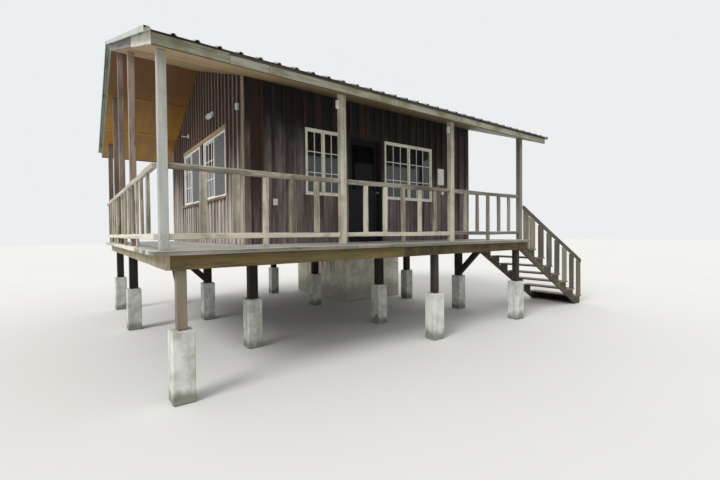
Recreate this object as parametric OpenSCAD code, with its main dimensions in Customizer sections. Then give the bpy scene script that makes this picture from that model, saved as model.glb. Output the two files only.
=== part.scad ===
// Stilt house of timber with an L-shaped veranda, a ribbed metal gable roof and an outside stair.
// X runs along the front to the right, Y runs from the front to the back, Z is up.
// The origin is the middle of the whole house's outline at the level of the piers' feet.

/* [Platform] */
// Height of the deck's top above the feet of the piers
deck_height = 1720; // [1400:20:2400]
// Length of the platform along the front, over its outer joists
platform_length = 7240; // [6800:20:8200]
// Depth of the platform from front to back, over its outer joists
platform_depth = 7080; // [6600:20:8000]
// Height of the joists and beams of the platform
joist_height = 165; // [140:5:240]
// Thickness of the outer joists
joist_thickness = 45; // [35:1:60]
// Distance between the inner joists
joist_spacing = 600; // [400:20:800]
// Thickness of the deck and the floor
deck_thickness = 55; // [25:1:60]
// How far the deck stands out past the front and rear joists
deck_overhang = 60; // [20:5:90]
// How far the deck stands out past the left joist
deck_overhang_left = 125; // [60:5:150]
// How far the deck stands out past the right joist
deck_overhang_right = 70; // [20:5:90]

/* [Piers and stilts] */
// Side of each square concrete pier
pier_width = 250; // [200:10:320]
// Height of the piers
pier_height = 820; // [500:20:1100]
// Side of the timber stilts under the front edge
front_stilt_width = 115; // [90:5:140]
// Side of the timber stilts under the house
inner_stilt_width = 150; // [110:5:190]
// Width of the beams on the stilts
beam_width = 120; // [90:5:160]
// Height and width of the knee braces
brace_width = 90; // [60:5:110]
// How far the middles of the knee braces reach out from the stilts
brace_reach = 500; // [300:20:700]
// Length of the concrete core under the right rear of the house
core_length = 1940; // [1500:20:2600]
// Depth of the concrete core
core_depth = 2900; // [2200:20:3400]
// Distance from the concrete core to the middle of the lone pier in front of it
core_pier_distance = 600; // [400:20:900]

/* [House body] */
// Depth of the veranda in front of the house
porch_depth = 1600; // [1300:20:2000]
// Width of the veranda to the left of the house
porch_width = 1480; // [1200:20:1900]
// Thickness of the house walls
wall_thickness = 120; // [90:5:160]
// Height of the door and window heads above the deck
head_height = 2100; // [2000:10:2150]
// Height of the window sills above the deck
sill_height = 880; // [700:10:1100]
// Width of the corner boards
corner_board_width = 100; // [70:5:140]
// Thickness of the corner boards and window trims
trim_thickness = 20; // [12:1:30]

/* [Windows] */
// Distance from the house's left corner to the small front window
front_window_1_start = 1125; // [600:5:1300]
// Width of the small front window
front_window_1_width = 775; // [500:5:850]
// Width of the large front window
front_window_2_width = 1430; // [900:10:1700]
// Distance from the doorway to the large front window
front_window_2_gap = 75; // [60:5:200]
// Distance from the house's front corner to the first side window
side_window_1_start = 940; // [500:10:1200]
// Distance from the house's front corner to the second side window
side_window_2_start = 2700; // [2500:10:3400]
// Width of the side windows
side_window_width = 1450; // [900:10:1500]
// Width of the frame bars of the windows
window_bar = 40; // [30:1:60]
// Depth of the window frames
window_depth = 80; // [50:1:90]
// How far the window frames stand out of the wall
window_proud = 15; // [5:1:25]
// Thickness of the window glass
glass_thickness = 6; // [4:1:10]
// Height of the timber board over a side window
window_head_trim = 90; // [60:5:120]
// Height of the sill board under a side window
window_sill_trim = 50; // [30:5:80]
// How far the sill boards stand out of the wall
sill_depth = 55; // [35:1:80]

/* [Door] */
// Distance from the house's left corner to the doorway
doorway_start = 2080; // [2000:10:2300]
// Width of the doorway in the wall
doorway_width = 850; // [750:10:1000]
// Thickness of the lining round the doorway
lining_thickness = 30; // [20:1:40]
// Depth of the strip that the door closes against
stop_depth = 28; // [20:1:34]
// How far the strip stands out of the lining
stop_height = 14; // [10:1:20]
// Thickness of the door
door_thickness = 40; // [35:1:50]
// Gap round the door
door_gap = 8; // [6:1:12]
// Width of the upright bars of the door
door_stile = 110; // [80:5:140]
// Height of the middle bar's top above the floor
door_middle = 1050; // [800:10:1200]
// Radius of the hinge barrels
hinge_radius = 6; // [5:0.5:9]
// Height of each hinge
hinge_height = 90; // [70:1:120]
// Number of hinges
hinge_count = 3; // [2:1:4]
// Distance from the door's lower and upper edges to the nearest hinges
hinge_margin = 200; // [120:10:300]
// Gap between the closed door and the strip that it closes against
stop_gap = 5; // [5:1:8]
// Depth of the recess in each side of the door's lower half
panel_recess = 10; // [6:1:14]

/* [Veranda] */
// Side of the veranda posts
post_width = 100; // [80:5:130]
// How far the left posts stand out past the left joist
post_outset = 40; // [0:5:60]
// Distance from the front joist's face to the front posts
post_inset_front = 80; // [40:5:120]
// Distance from the right joist's face to the last front post
post_inset_right = 60; // [20:5:120]
// Distance from the first front post to the second
front_bay_1 = 2400; // [2100:10:2700]
// Distance from the second front post to the third
front_bay_2 = 2430; // [2100:10:2700]
// Distance from the corner post to the first left post
left_bay_1 = 2560; // [2200:10:3000]
// Distance from the ridge post to the next one behind it
left_bay_3 = 1180; // [800:10:1500]
// Height of the railing's top above the deck
rail_top = 980; // [850:10:1100]
// Height of the lower rail's top above the deck
rail_low = 190; // [120:10:260]
// Height of each rail
rail_height = 75; // [50:5:100]
// Thickness of the rails and balusters
rail_thickness = 40; // [30:1:50]
// Width of each baluster
baluster_width = 90; // [50:5:110]
// Distance between the balusters, as near as whole spaces allow
baluster_spacing = 400; // [300:10:500]
// Largest distance between balusters of the left railing, in mm
baluster_spacing_left = 490; // [300:10:600]

/* [Roof] */
// Height of the ceiling above the deck at the front fascia
eave_height = 2050; // [1950:10:2400]
// Slope of the front of the roof in degrees
front_pitch = 20.1; // [15:0.1:24]
// Slope of the rear of the roof in degrees
rear_pitch = 26; // [22:0.1:28]
// How far the front fascia stands out past the front joist
eave_overhang = 330; // [200:10:500]
// How far the rear fascia stands out past the rear joist
rear_overhang = 450; // [200:10:500]
// How far the left bargeboards stand out past the left joist
gable_overhang_left = 150; // [100:10:350]
// How far the right bargeboards stand out past the right joist
gable_overhang_right = 90; // [60:10:300]
// Thickness of the ceiling boards
ceiling_thickness = 15; // [9:1:25]
// Gap between the sloping layers that lie on each other
layer_gap = 0.3; // [0.1:0.1:0.5]
// Depth of the rafters
rafter_depth = 110; // [80:5:140]
// Width of the rafters
rafter_width = 45; // [35:1:60]
// Distance between the rafters, as near as whole spaces allow
rafter_spacing = 780; // [500:20:900]
// Thickness of the fascias and bargeboards
fascia_thickness = 25; // [18:1:35]
// Distance between the ribs of the roof sheets
rib_pitch = 228.6; // [150:0.1:300]
// Height of the ribs
rib_height = 20; // [12:1:35]
// Width of a rib at its foot
rib_foot = 58; // [45:1:80]
// Width of a rib at its top
rib_crest = 22; // [12:1:35]
// Thickness of the roof sheets
sheet_thickness = 2; // [1:0.5:4]
// How far the sheets stand out past the fascias
sheet_overhang = 50; // [20:5:90]
// How far the sheets stand out past the bargeboards
sheet_side_overhang = 70; // [40:5:120]
// Length of each wing of the ridge cap
ridge_cap_wing = 160; // [100:10:250]
// Height of the metal edge over the bargeboards
edge_trim_drop = 55; // [40:5:70]
// Gap between the metal edge and the ridge cap, along the slope
edge_trim_gap = 5; // [2:1:20]

/* [Stair] */
// Width of the stair over its stringers
stair_width = 1200; // [900:20:1300]
// Number of treads
tread_count = 7; // [6:1:8]
// Distance from tread to tread along the stair
going = 375; // [300:5:400]
// Depth of each tread
tread_depth = 300; // [260:5:340]
// Thickness of the treads
tread_thickness = 38; // [30:1:50]
// How far the treads stand out past the stringers
tread_overhang = 34; // [30:1:50]
// How far the treads stand out past the risers' line
nosing = 15; // [5:1:30]
// Thickness of the stringers
stringer_thickness = 45; // [35:1:60]
// How far the stringers reach in under the platform
stringer_tuck = 240; // [200:5:260]
// Height of the handrail's top above the deck at the post
stair_rail_start = 750; // [700:10:900]
// Height of the handrail's top above the ground at its foot
stair_rail_end = 1160; // [1000:10:1250]
// Height of the handrail
handrail_height = 75; // [50:5:90]
// Width of the handrail
handrail_width = 45; // [35:1:60]
// Width of the upright boards of the stair rail
stair_board_width = 150; // [90:5:180]
// Thickness of the upright boards
stair_board_thickness = 25; // [18:1:28]

/* [Hidden] */

// Levels of the platform
frame_top = deck_height - deck_thickness;
frame_bottom = frame_top - joist_height;

// Places of the house body on the platform
house_x = porch_width;
house_y = porch_depth;
house_length = platform_length - porch_width;
house_depth = platform_depth - porch_depth;
room_x = house_x + wall_thickness;
room_y = house_y + wall_thickness;
room_length = house_length - 2 * wall_thickness;
room_depth = house_depth - 2 * wall_thickness;
doorway_x = house_x + doorway_start;
head_level = deck_height + head_height;
window_height = head_height - sill_height;

// Rows of piers, by their middles
row_front_y = joist_thickness + beam_width / 2;
row_wall_y = house_y + beam_width / 2;
row_middle_y = (house_y + platform_depth) / 2;
row_back_y = platform_depth - joist_thickness - beam_width / 2;
column_left_x = joist_thickness + pier_width / 2;
column_wall_x = house_x + pier_width / 2;
column_middle_x = house_x + house_length / 2;
column_right_x = platform_length - joist_thickness - pier_width;

// The concrete core stands flush with the right and rear joists
core_x = platform_length - joist_thickness - core_length;
core_y = platform_depth - joist_thickness - core_depth;
lone_pier_y = core_y - core_pier_distance;

// Middles of the piers
front_points = [
    [column_left_x, row_front_y], [column_middle_x, row_front_y], [column_right_x, row_front_y]
];
inner_points = [
    [column_wall_x, row_wall_y], [column_middle_x, row_wall_y], [column_right_x, row_wall_y],
    [column_left_x, row_middle_y], [column_wall_x, row_middle_y], [column_middle_x, row_middle_y],
    [column_right_x, lone_pier_y],
    [column_left_x, row_back_y], [column_wall_x, row_back_y], [column_middle_x, row_back_y]
];

// Windows as [start, width], measured from the left for the front and from the front for the sides
front_windows = [
    [house_x + front_window_1_start, front_window_1_width],
    [doorway_x + doorway_width + front_window_2_gap, front_window_2_width]
];
back_windows = [
    [house_x + house_length - side_window_1_start - side_window_width, side_window_width],
    [house_x + side_window_1_start, side_window_width]
];
side_windows = [
    [house_y + side_window_1_start, side_window_width],
    [house_y + side_window_2_start, side_window_width]
];

// Planes of the roof
ridge_y = row_middle_y;
eave_y = -eave_overhang;
rear_eave_y = platform_depth + rear_overhang;
ridge_level = deck_height + eave_height + (ridge_y - eave_y) * tan(front_pitch);
roof_left_x = -gable_overhang_left;
roof_right_x = platform_length + gable_overhang_right;
roof_length = roof_right_x - roof_left_x;
sheet_left_x = roof_left_x - sheet_side_overhang;
sheet_length = roof_length + 2 * sheet_side_overhang;
rafter_base = ceiling_thickness + layer_gap;
rafter_top = rafter_base + rafter_depth;
sheet_base = rafter_top + layer_gap;
cap_base = sheet_base + rib_height + sheet_thickness + layer_gap;
trim_metal = sheet_thickness;
sheet_gap = rib_height;

// Places of the veranda posts
last_post_x = platform_length - post_inset_right - post_width;
front_post_x = [
    -post_outset, -post_outset + front_bay_1, -post_outset + front_bay_1 + front_bay_2, last_post_x
];
ridge_post_y = ridge_y - post_width / 2;
left_post_y = [
    post_inset_front + left_bay_1, ridge_post_y, ridge_post_y + left_bay_3,
    platform_depth - post_width
];

// The stair starts at the right edge of the deck
stair_x = platform_length + deck_overhang_right;
stair_y = post_inset_front;
rise = deck_height / (tread_count + 1);
stair_end_x = stair_x + tread_count * going;
stair_foot_level = deck_height - tread_count * rise - tread_thickness;
handrail_start_x = last_post_x + post_width;
handrail_end_x = stair_end_x - nosing;

// How far a cut runs past the faces that it goes through
cut = 1;

// Door leaf and hinge line
leaf_x = doorway_x + lining_thickness + door_gap;
leaf_width = doorway_width - 2 * lining_thickness - 2 * door_gap;
leaf_height = head_height - lining_thickness - 2 * door_gap;
leaf_y = room_y - door_thickness;
hinge_x = leaf_x - door_gap / 2;
hinge_y = room_y + hinge_radius;
knuckle_gap = 0.3;
hinge_plate = 3;
hinge_plate_width = 28;

// Lower edges of the roof sheets, and the run of each from there to the ridge, along the slope
sheet_front_y = eave_y - sheet_overhang;
sheet_rear_y = rear_eave_y + sheet_overhang;
front_run = (apex_y(sheet_base) - sheet_front_y) / cos(front_pitch) - sheet_gap;
rear_run = (sheet_rear_y - apex_y(sheet_base)) / cos(rear_pitch) - sheet_gap;

// Ribs of a sheet; the metal edge's top leg reaches the first one, so that it lies on its crest
rib_spaces = floor((sheet_length - rib_foot) / rib_pitch);
first_rib = (sheet_length - rib_spaces * rib_pitch) / 2;
edge_trim_top = first_rib + rib_crest / 2;

// Middle of the outline to a whole millimetre, where the origin is
outline_left = sheet_left_x - trim_metal;
outline_right = stair_end_x + nosing;
outline_front = sheet_front_y - (rib_height + sheet_thickness) * sin(front_pitch);
outline_rear = sheet_rear_y + (rib_height + sheet_thickness) * sin(rear_pitch);
middle_x = round((outline_left + outline_right) / 2);
middle_y = round((outline_front + outline_rear) / 2);

timber_grey = "#9c9a8c";
timber_dark = "#3a2e28";
siding_brown = "#5a4038";
concrete_grey = "#a9a89f";
paint_white = "#e8e8e2";

// Heights of the roof's layers, h above the underside of the ceiling
function front_plane(y, h) = ridge_level - (ridge_y - y) * tan(front_pitch) + h / cos(front_pitch);
function rear_plane(y, h) = ridge_level - (y - ridge_y) * tan(rear_pitch) + h / cos(rear_pitch);
function apex_y(h) = ridge_y
    + (h / cos(rear_pitch) - h / cos(front_pitch)) / (tan(front_pitch) + tan(rear_pitch));
function even_count(length, spacing) = max(1, round(length / spacing));

// Puts the house with the middle of its outline over the origin
module placed() {
    translate([-middle_x, -middle_y, 0]) children();
}

// A block from its lowest corner and its size
module block(corner, size) {
    translate(corner) cube(size);
}

// A YZ outline run along X from x, for what follows the roof's slopes
module along_x(x, length) {
    translate([x, 0, 0]) rotate([90, 0, 90]) linear_extrude(length) children();
}

// An XZ outline run along Y from y
module along_y(y, length) {
    translate([0, y + length, 0]) rotate([90, 0, 0]) linear_extrude(length) children();
}

// The space under the ceiling, which cuts the tops of walls and posts
module under_roof() {
    along_x(roof_left_x, roof_length)
        polygon([
            [eave_y, 0],
            [rear_eave_y, 0],
            [rear_eave_y, rear_plane(rear_eave_y, -layer_gap)],
            [apex_y(-layer_gap), front_plane(apex_y(-layer_gap), -layer_gap)],
            [eave_y, front_plane(eave_y, -layer_gap)]
        ]);
}

// A layer of the front slope from height h to h + t, between two places of Y
module front_layer(y0, y1, h, t) {
    polygon([
        [y0, front_plane(y0, h)],
        [min(y1, apex_y(h)), front_plane(min(y1, apex_y(h)), h)],
        [min(y1, apex_y(h + t)), front_plane(min(y1, apex_y(h + t)), h + t)],
        [y0, front_plane(y0, h + t)]
    ]);
}

// A layer of the rear slope from height h to h + t, between two places of Y
module rear_layer(y0, y1, h, t) {
    polygon([
        [max(y0, apex_y(h)), rear_plane(max(y0, apex_y(h)), h)],
        [y1, rear_plane(y1, h)],
        [y1, rear_plane(y1, h + t)],
        [max(y0, apex_y(h + t)), rear_plane(max(y0, apex_y(h + t)), h + t)]
    ]);
}

// Piers and stilts

module piers_at(points) {
    for (p = points)
        block([p[0] - pier_width / 2, p[1] - pier_width / 2, 0], [pier_width, pier_width, pier_height]);
}

module stilts_at(points, width) {
    for (p = points)
        block([p[0] - width / 2, p[1] - width / 2, pier_height], [width, width, frame_bottom - pier_height]);
}

module piers_front() {
    color(concrete_grey) placed() piers_at(front_points);
}

module piers_inner() {
    color(concrete_grey) placed() piers_at(inner_points);
}

module stilts_front() {
    color(timber_dark) placed() stilts_at(front_points, front_stilt_width);
}

module stilts_inner() {
    color(timber_dark) placed() stilts_at(inner_points, inner_stilt_width);
}

// Outline of a knee brace that leans out from a stilt's face at 45 degrees up to the frame
module brace_outline() {
    half = brace_width / sqrt(2);
    polygon([
        [0, frame_bottom - brace_reach - half],
        [brace_reach + half, frame_bottom],
        [brace_reach - half, frame_bottom],
        [0, frame_bottom - brace_reach + half]
    ]);
}

module knee_braces() {
    half = inner_stilt_width / 2;
    color(timber_dark) placed() {
        // From the right stilt of the wall row towards the front
        translate([column_right_x - brace_width / 2, row_wall_y - half, 0])
            mirror([0, 1, 0])
                along_x(0, brace_width) brace_outline();
        // From the wall stilt of the middle row towards the left
        translate([column_wall_x - half, row_middle_y - brace_width / 2, 0])
            mirror([1, 0, 0])
                along_y(0, brace_width) brace_outline();
        // From the corner stilt towards the back
        translate([column_left_x - brace_width / 2, row_front_y + front_stilt_width / 2, 0])
            along_x(0, brace_width) brace_outline();
    }
}

module concrete_core() {
    color(concrete_grey) placed()
        block([core_x, core_y, 0], [core_length, core_depth, frame_bottom]);
}

// Platform

module floor_frame() {
    x0 = joist_thickness;
    span = platform_length - 2 * joist_thickness;
    rows = [row_front_y, row_wall_y, row_middle_y, row_back_y];
    bays = even_count(span, joist_spacing);
    pitch = (span - joist_thickness) / bays;
    trimmer_x = round(x0 + (bays - 1) * pitch + joist_thickness / 2);
    color(timber_dark) placed() union() {
        for (y = rows)
            block([x0, y - beam_width / 2, frame_bottom], [span, beam_width, joist_height]);
        for (i = [0 : bays], j = [0 : len(rows) - 2])
            block(
                [x0 + i * pitch, rows[j] + beam_width / 2, frame_bottom],
                [joist_thickness, rows[j + 1] - rows[j] - beam_width, joist_height]
            );
        // The short beam over the lone pier
        block(
            [trimmer_x, lone_pier_y - beam_width / 2, frame_bottom],
            [x0 + span - trimmer_x, beam_width, joist_height]
        );
    }
}

module rim_joists() {
    inner_length = platform_length - 2 * joist_thickness;
    color(timber_grey) placed() difference() {
        block([0, 0, frame_bottom], [platform_length, platform_depth, joist_height]);
        block(
            [joist_thickness, joist_thickness, frame_bottom - cut],
            [inner_length, platform_depth - 2 * joist_thickness, joist_height + 2 * cut]
        );
    }
}

module deck_front() {
    color(timber_grey) placed() block(
        [-deck_overhang_left, -deck_overhang, frame_top],
        [platform_length + deck_overhang_left + deck_overhang_right, house_y + deck_overhang, deck_thickness]
    );
}

module deck_left() {
    color(timber_grey) placed() block(
        [-deck_overhang_left, house_y, frame_top],
        [house_x + deck_overhang_left, house_depth + deck_overhang, deck_thickness]
    );
}

module house_floor() {
    color(timber_grey) placed()
        block([house_x, house_y, frame_top], [house_length, house_depth, deck_thickness]);
}

// House walls

module window_hole(x, y, size_x, size_y) {
    block([x, y, deck_height + sill_height], [size_x, size_y, window_height]);
}

// A piece of the front wall between two places of X, under the ceiling
module front_wall_piece(x0, x1, z0) {
    intersection() {
        block([x0, house_y, z0], [x1 - x0, wall_thickness, ridge_level - z0]);
        under_roof();
    }
}

module front_wall_left() {
    color(siding_brown) placed() difference() {
        front_wall_piece(room_x, doorway_x, deck_height);
        window_hole(front_windows[0][0], house_y - cut, front_windows[0][1], wall_thickness + 2 * cut);
    }
}

module front_wall_right() {
    color(siding_brown) placed() difference() {
        front_wall_piece(doorway_x + doorway_width, room_x + room_length, deck_height);
        window_hole(front_windows[1][0], house_y - cut, front_windows[1][1], wall_thickness + 2 * cut);
    }
}

module front_wall_over_door() {
    color(siding_brown) placed()
        front_wall_piece(doorway_x, doorway_x + doorway_width, head_level);
}

// A gable wall with its two windows
module side_wall(x) {
    difference() {
        intersection() {
            block([x, house_y, deck_height], [wall_thickness, house_depth, ridge_level]);
            under_roof();
        }
        for (w = side_windows) window_hole(x - cut, w[0], wall_thickness + 2 * cut, w[1]);
    }
}

module left_wall() {
    color(siding_brown) placed() side_wall(house_x);
}

module right_wall() {
    color(siding_brown) placed() side_wall(room_x + room_length);
}

module back_wall() {
    y = room_y + room_depth;
    color(siding_brown) placed() difference() {
        intersection() {
            block([room_x, y, deck_height], [room_length, wall_thickness, ridge_level]);
            under_roof();
        }
        for (w = back_windows) window_hole(w[0], y - cut, w[1], wall_thickness + 2 * cut);
    }
}

// One corner board, whose two wings lie on the walls; sx and sy point out of the corner
module corner_board(x, y, sx, sy) {
    t = trim_thickness;
    w = corner_board_width;
    translate([x, y, deck_height]) facing(sx, sy) linear_extrude(ridge_level)
        polygon([[t, t], [t, -w], [0, -w], [0, 0], [-w, 0], [-w, t]]);
}

// Turns an outline that points to +X and +Y towards the given signs
module facing(sx, sy) {
    mirror([sx < 0 ? 1 : 0, 0, 0]) mirror([0, sy < 0 ? 1 : 0, 0]) children();
}

module corner_boards() {
    color(timber_grey) placed() intersection() {
        union() {
            corner_board(house_x, house_y, -1, -1);
            corner_board(house_x + house_length, house_y, 1, -1);
            corner_board(house_x, house_y + house_depth, -1, 1);
            corner_board(house_x + house_length, house_y + house_depth, 1, 1);
        }
        under_roof();
    }
}

// Windows

// A window frame with a middle bar, standing in the XZ plane with its outer face at y = 0
module window_frame(width) {
    pane = (width - 3 * window_bar) / 2;
    difference() {
        cube([width, window_depth, window_height]);
        for (i = [0, 1])
            translate([window_bar + i * (pane + window_bar), -cut, window_bar])
                cube([pane, window_depth + 2 * cut, window_height - 2 * window_bar]);
    }
}

// The two panes of a window frame
module window_panes(width) {
    pane = (width - 3 * window_bar) / 2;
    for (i = [0, 1])
        translate([window_bar + i * (pane + window_bar), (window_depth - glass_thickness) / 2, window_bar])
            cube([pane, glass_thickness, window_height - 2 * window_bar]);
}

// Head board and sill board of a window
module window_trim(width) {
    side = window_bar;
    translate([-side, window_proud - trim_thickness, window_height])
        cube([width + 2 * side, trim_thickness, window_head_trim]);
    translate([-side, window_proud - sill_depth, -window_sill_trim])
        cube([width + 2 * side, sill_depth, window_sill_trim]);
}

// Places what is drawn for a window into each window of one wall
module in_front_window(i) {
    w = front_windows[i];
    translate([w[0], house_y - window_proud, deck_height + sill_height]) children();
}

module in_back_window(i) {
    w = back_windows[i];
    translate([w[0] + w[1], platform_depth + window_proud, deck_height + sill_height])
        rotate([0, 0, 180]) children();
}

module in_left_window(i) {
    w = side_windows[i];
    translate([house_x - window_proud, w[0] + w[1], deck_height + sill_height])
        rotate([0, 0, -90]) children();
}

module in_right_window(i) {
    w = side_windows[i];
    translate([platform_length + window_proud, w[0], deck_height + sill_height])
        rotate([0, 0, 90]) children();
}

module window_frames_front() {
    color(paint_white) placed()
        for (i = [0, 1]) in_front_window(i) window_frame(front_windows[i][1]);
}

module window_frames_left() {
    color(paint_white) placed()
        for (i = [0, 1]) in_left_window(i) window_frame(side_window_width);
}

module window_frames_right() {
    color(paint_white) placed()
        for (i = [0, 1]) in_right_window(i) window_frame(side_window_width);
}

module window_frames_back() {
    color(paint_white) placed()
        for (i = [0, 1]) in_back_window(i) window_frame(side_window_width);
}

module window_glass() {
    color("#6f8794") placed() for (i = [0, 1]) {
        in_front_window(i) window_panes(front_windows[i][1]);
        in_left_window(i) window_panes(side_window_width);
        in_right_window(i) window_panes(side_window_width);
        in_back_window(i) window_panes(side_window_width);
    }
}

module window_trims() {
    color(timber_grey) placed() for (i = [0, 1]) {
        in_left_window(i) window_trim(side_window_width);
        in_right_window(i) window_trim(side_window_width);
        in_back_window(i) window_trim(side_window_width);
    }
}

// Door

function hinge_level(i) = deck_height + door_gap + hinge_margin
    + i * (leaf_height - 2 * hinge_margin - hinge_height) / (hinge_count - 1);

// The part of a hinge barrel from one height to another, with its plate to one side
module hinge_part(z, from, to, side) {
    translate([hinge_x, hinge_y, z + from]) cylinder(r = hinge_radius, h = to - from, $fn = 24);
    translate([side < 0 ? hinge_x - hinge_plate_width : hinge_x, room_y, z + from])
        cube([hinge_plate_width, hinge_plate, to - from]);
}

module door_frame() {
    x0 = doorway_x;
    x1 = doorway_x + doorway_width;
    t = lining_thickness;
    s = stop_height;
    stop_y = leaf_y - stop_gap - stop_depth;
    third = hinge_height / 3;
    color(paint_white) placed() union() {
        along_y(house_y, wall_thickness)
            polygon([
                [x0, deck_height], [x0 + t, deck_height], [x0 + t, head_level - t],
                [x1 - t, head_level - t], [x1 - t, deck_height], [x1, deck_height],
                [x1, head_level], [x0, head_level]
            ]);
        along_y(stop_y, stop_depth)
            polygon([
                [x0 + t, deck_height], [x0 + t + s, deck_height], [x0 + t + s, head_level - t - s],
                [x1 - t - s, head_level - t - s], [x1 - t - s, deck_height], [x1 - t, deck_height],
                [x1 - t, head_level - t], [x0 + t, head_level - t]
            ]);
        for (i = [0 : hinge_count - 1]) {
            hinge_part(hinge_level(i), 0, third, -1);
            hinge_part(hinge_level(i), 2 * third, hinge_height, -1);
        }
    }
}

module front_door() {
    third = hinge_height / 3;
    z0 = deck_height + door_gap;
    light_bottom = deck_height + door_middle;
    light_top = z0 + leaf_height - door_stile;
    panel_bottom = z0 + 2 * door_stile;
    panel_top = light_bottom - door_stile;
    color("#1c2740") placed() union() {
        difference() {
            block([leaf_x, leaf_y, z0], [leaf_width, door_thickness, leaf_height]);
            block(
                [leaf_x + door_stile, leaf_y - cut, light_bottom],
                [leaf_width - 2 * door_stile, door_thickness + 2 * cut, light_top - light_bottom]
            );
            for (y = [leaf_y - cut, leaf_y + door_thickness - panel_recess])
                block(
                    [leaf_x + door_stile, y, panel_bottom],
                    [leaf_width - 2 * door_stile, panel_recess + cut, panel_top - panel_bottom]
                );
        }
        for (i = [0 : hinge_count - 1])
            hinge_part(hinge_level(i), third + knuckle_gap, 2 * third - knuckle_gap, 1);
    }
}

module door_glass() {
    light_bottom = deck_height + door_middle;
    light_top = deck_height + door_gap + leaf_height - door_stile;
    color("#26323a") placed() block(
        [leaf_x + door_stile, leaf_y + (door_thickness - glass_thickness) / 2, light_bottom],
        [leaf_width - 2 * door_stile, glass_thickness, light_top - light_bottom]
    );
}

// Veranda

module post(x, y) {
    intersection() {
        block([x, y, deck_height], [post_width, post_width, ridge_level]);
        under_roof();
    }
}

module posts_front() {
    color(timber_grey) placed() for (x = front_post_x) post(x, post_inset_front);
}

module posts_left() {
    color(timber_grey) placed() for (y = left_post_y) post(-post_outset, y);
}

// A railing panel along X from 0 to its length; its middle baluster stands on the deck
module rail_panel(length, spacing) {
    spaces = even_count(length, spacing);
    pitch = length / spaces;
    middle = ceil(spaces / 2);
    t = rail_thickness;
    union() {
        translate([0, 0, deck_height + rail_top - rail_height]) cube([length, t, rail_height]);
        translate([0, 0, deck_height + rail_low - rail_height]) cube([length, t, rail_height]);
        for (i = [1 : spaces - 1])
            translate([i * pitch - baluster_width / 2, 0, deck_height + (i == middle ? 0 : rail_low)])
                cube([baluster_width, t, rail_top - rail_height - (i == middle ? 0 : rail_low)]);
    }
}

module rail_front() {
    y = post_inset_front + (post_width - rail_thickness) / 2;
    color(timber_grey) placed() for (i = [0 : len(front_post_x) - 2])
        translate([front_post_x[i] + post_width, y, 0])
            rail_panel(front_post_x[i + 1] - front_post_x[i] - post_width, baluster_spacing);
}

module rail_left() {
    x = -post_outset + (post_width + rail_thickness) / 2;
    starts = concat([post_inset_front], left_post_y);
    color(timber_grey) placed() for (i = [0 : len(starts) - 2])
        translate([x, starts[i] + post_width, 0]) rotate([0, 0, 90])
            rail_panel(starts[i + 1] - starts[i] - post_width, baluster_spacing_left);
}

// Roof

module ceiling_front() {
    color("#b39a6a") placed()
        along_x(roof_left_x + fascia_thickness, roof_length - 2 * fascia_thickness)
            front_layer(eave_y + fascia_thickness, ridge_y, 0, ceiling_thickness);
}

module ceiling_rear() {
    color("#b07a2e") placed()
        along_x(roof_left_x + fascia_thickness, roof_length - 2 * fascia_thickness)
            rear_layer(ridge_y, rear_eave_y - fascia_thickness, 0, ceiling_thickness);
}

module ridge_board() {
    y0 = ridge_y - rafter_width / 2;
    y1 = ridge_y + rafter_width / 2;
    color(timber_grey) placed()
        along_x(roof_left_x + fascia_thickness, roof_length - 2 * fascia_thickness)
            polygon([
                [y0, front_plane(y0, rafter_base)],
                [apex_y(rafter_base), front_plane(apex_y(rafter_base), rafter_base)],
                [y1, rear_plane(y1, rafter_base)],
                [y1, rear_plane(y1, rafter_top)],
                [y0, front_plane(y0, rafter_top)]
            ]);
}

module rafters() {
    x0 = roof_left_x + fascia_thickness;
    span = roof_length - 2 * fascia_thickness - rafter_width;
    bays = even_count(span, rafter_spacing);
    color(timber_grey) placed() for (i = [0 : bays]) {
        along_x(x0 + i * span / bays, rafter_width)
            front_layer(eave_y + fascia_thickness, ridge_y - rafter_width / 2, rafter_base, rafter_depth);
        along_x(x0 + i * span / bays, rafter_width)
            rear_layer(
                ridge_y + rafter_width / 2, rear_eave_y - fascia_thickness, rafter_base, rafter_depth
            );
    }
}

// Cross-section of a ribbed sheet, with its foot on the line z = 0
module ribbed_outline() {
    t = sheet_thickness;
    inset = (rib_foot - rib_crest) / 2;
    slant = t * (sqrt(rib_height * rib_height + inset * inset) - inset) / rib_height;
    upper = [
        for (i = [0 : rib_spaces], p = [[-rib_foot / 2, t], [-rib_crest / 2, rib_height + t],
            [rib_crest / 2, rib_height + t], [rib_foot / 2, t]])
            [first_rib + i * rib_pitch + p[0], p[1]]
    ];
    lower = [
        for (i = [rib_spaces : -1 : 0], p = [[rib_foot / 2 - slant, 0], [rib_crest / 2 - slant, rib_height],
            [-rib_crest / 2 + slant, rib_height], [-rib_foot / 2 + slant, 0]])
            [first_rib + i * rib_pitch + p[0], p[1]]
    ];
    polygon(concat([[0, 0], [0, t]], upper, [[sheet_length, t], [sheet_length, 0]], lower));
}

// Puts a cross-section on the front slope, at height h above the ceiling, and runs it uphill
module up_front(h, run) {
    translate([0, sheet_front_y, front_plane(sheet_front_y, h)])
        rotate([front_pitch, 0, 0])
            translate([0, run, 0]) rotate([90, 0, 0]) linear_extrude(run) children();
}

module up_rear(h, run) {
    translate([0, sheet_rear_y, rear_plane(sheet_rear_y, h)])
        rotate([-rear_pitch, 0, 0])
            rotate([90, 0, 0]) linear_extrude(run) children();
}

module roof_sheet_front() {
    color("#3d4148") placed()
        translate([sheet_left_x, 0, 0]) up_front(sheet_base, front_run) ribbed_outline();
}

module roof_sheet_rear() {
    color("#3d4148") placed()
        translate([sheet_left_x, 0, 0]) up_rear(sheet_base, rear_run) ribbed_outline();
}

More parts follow.
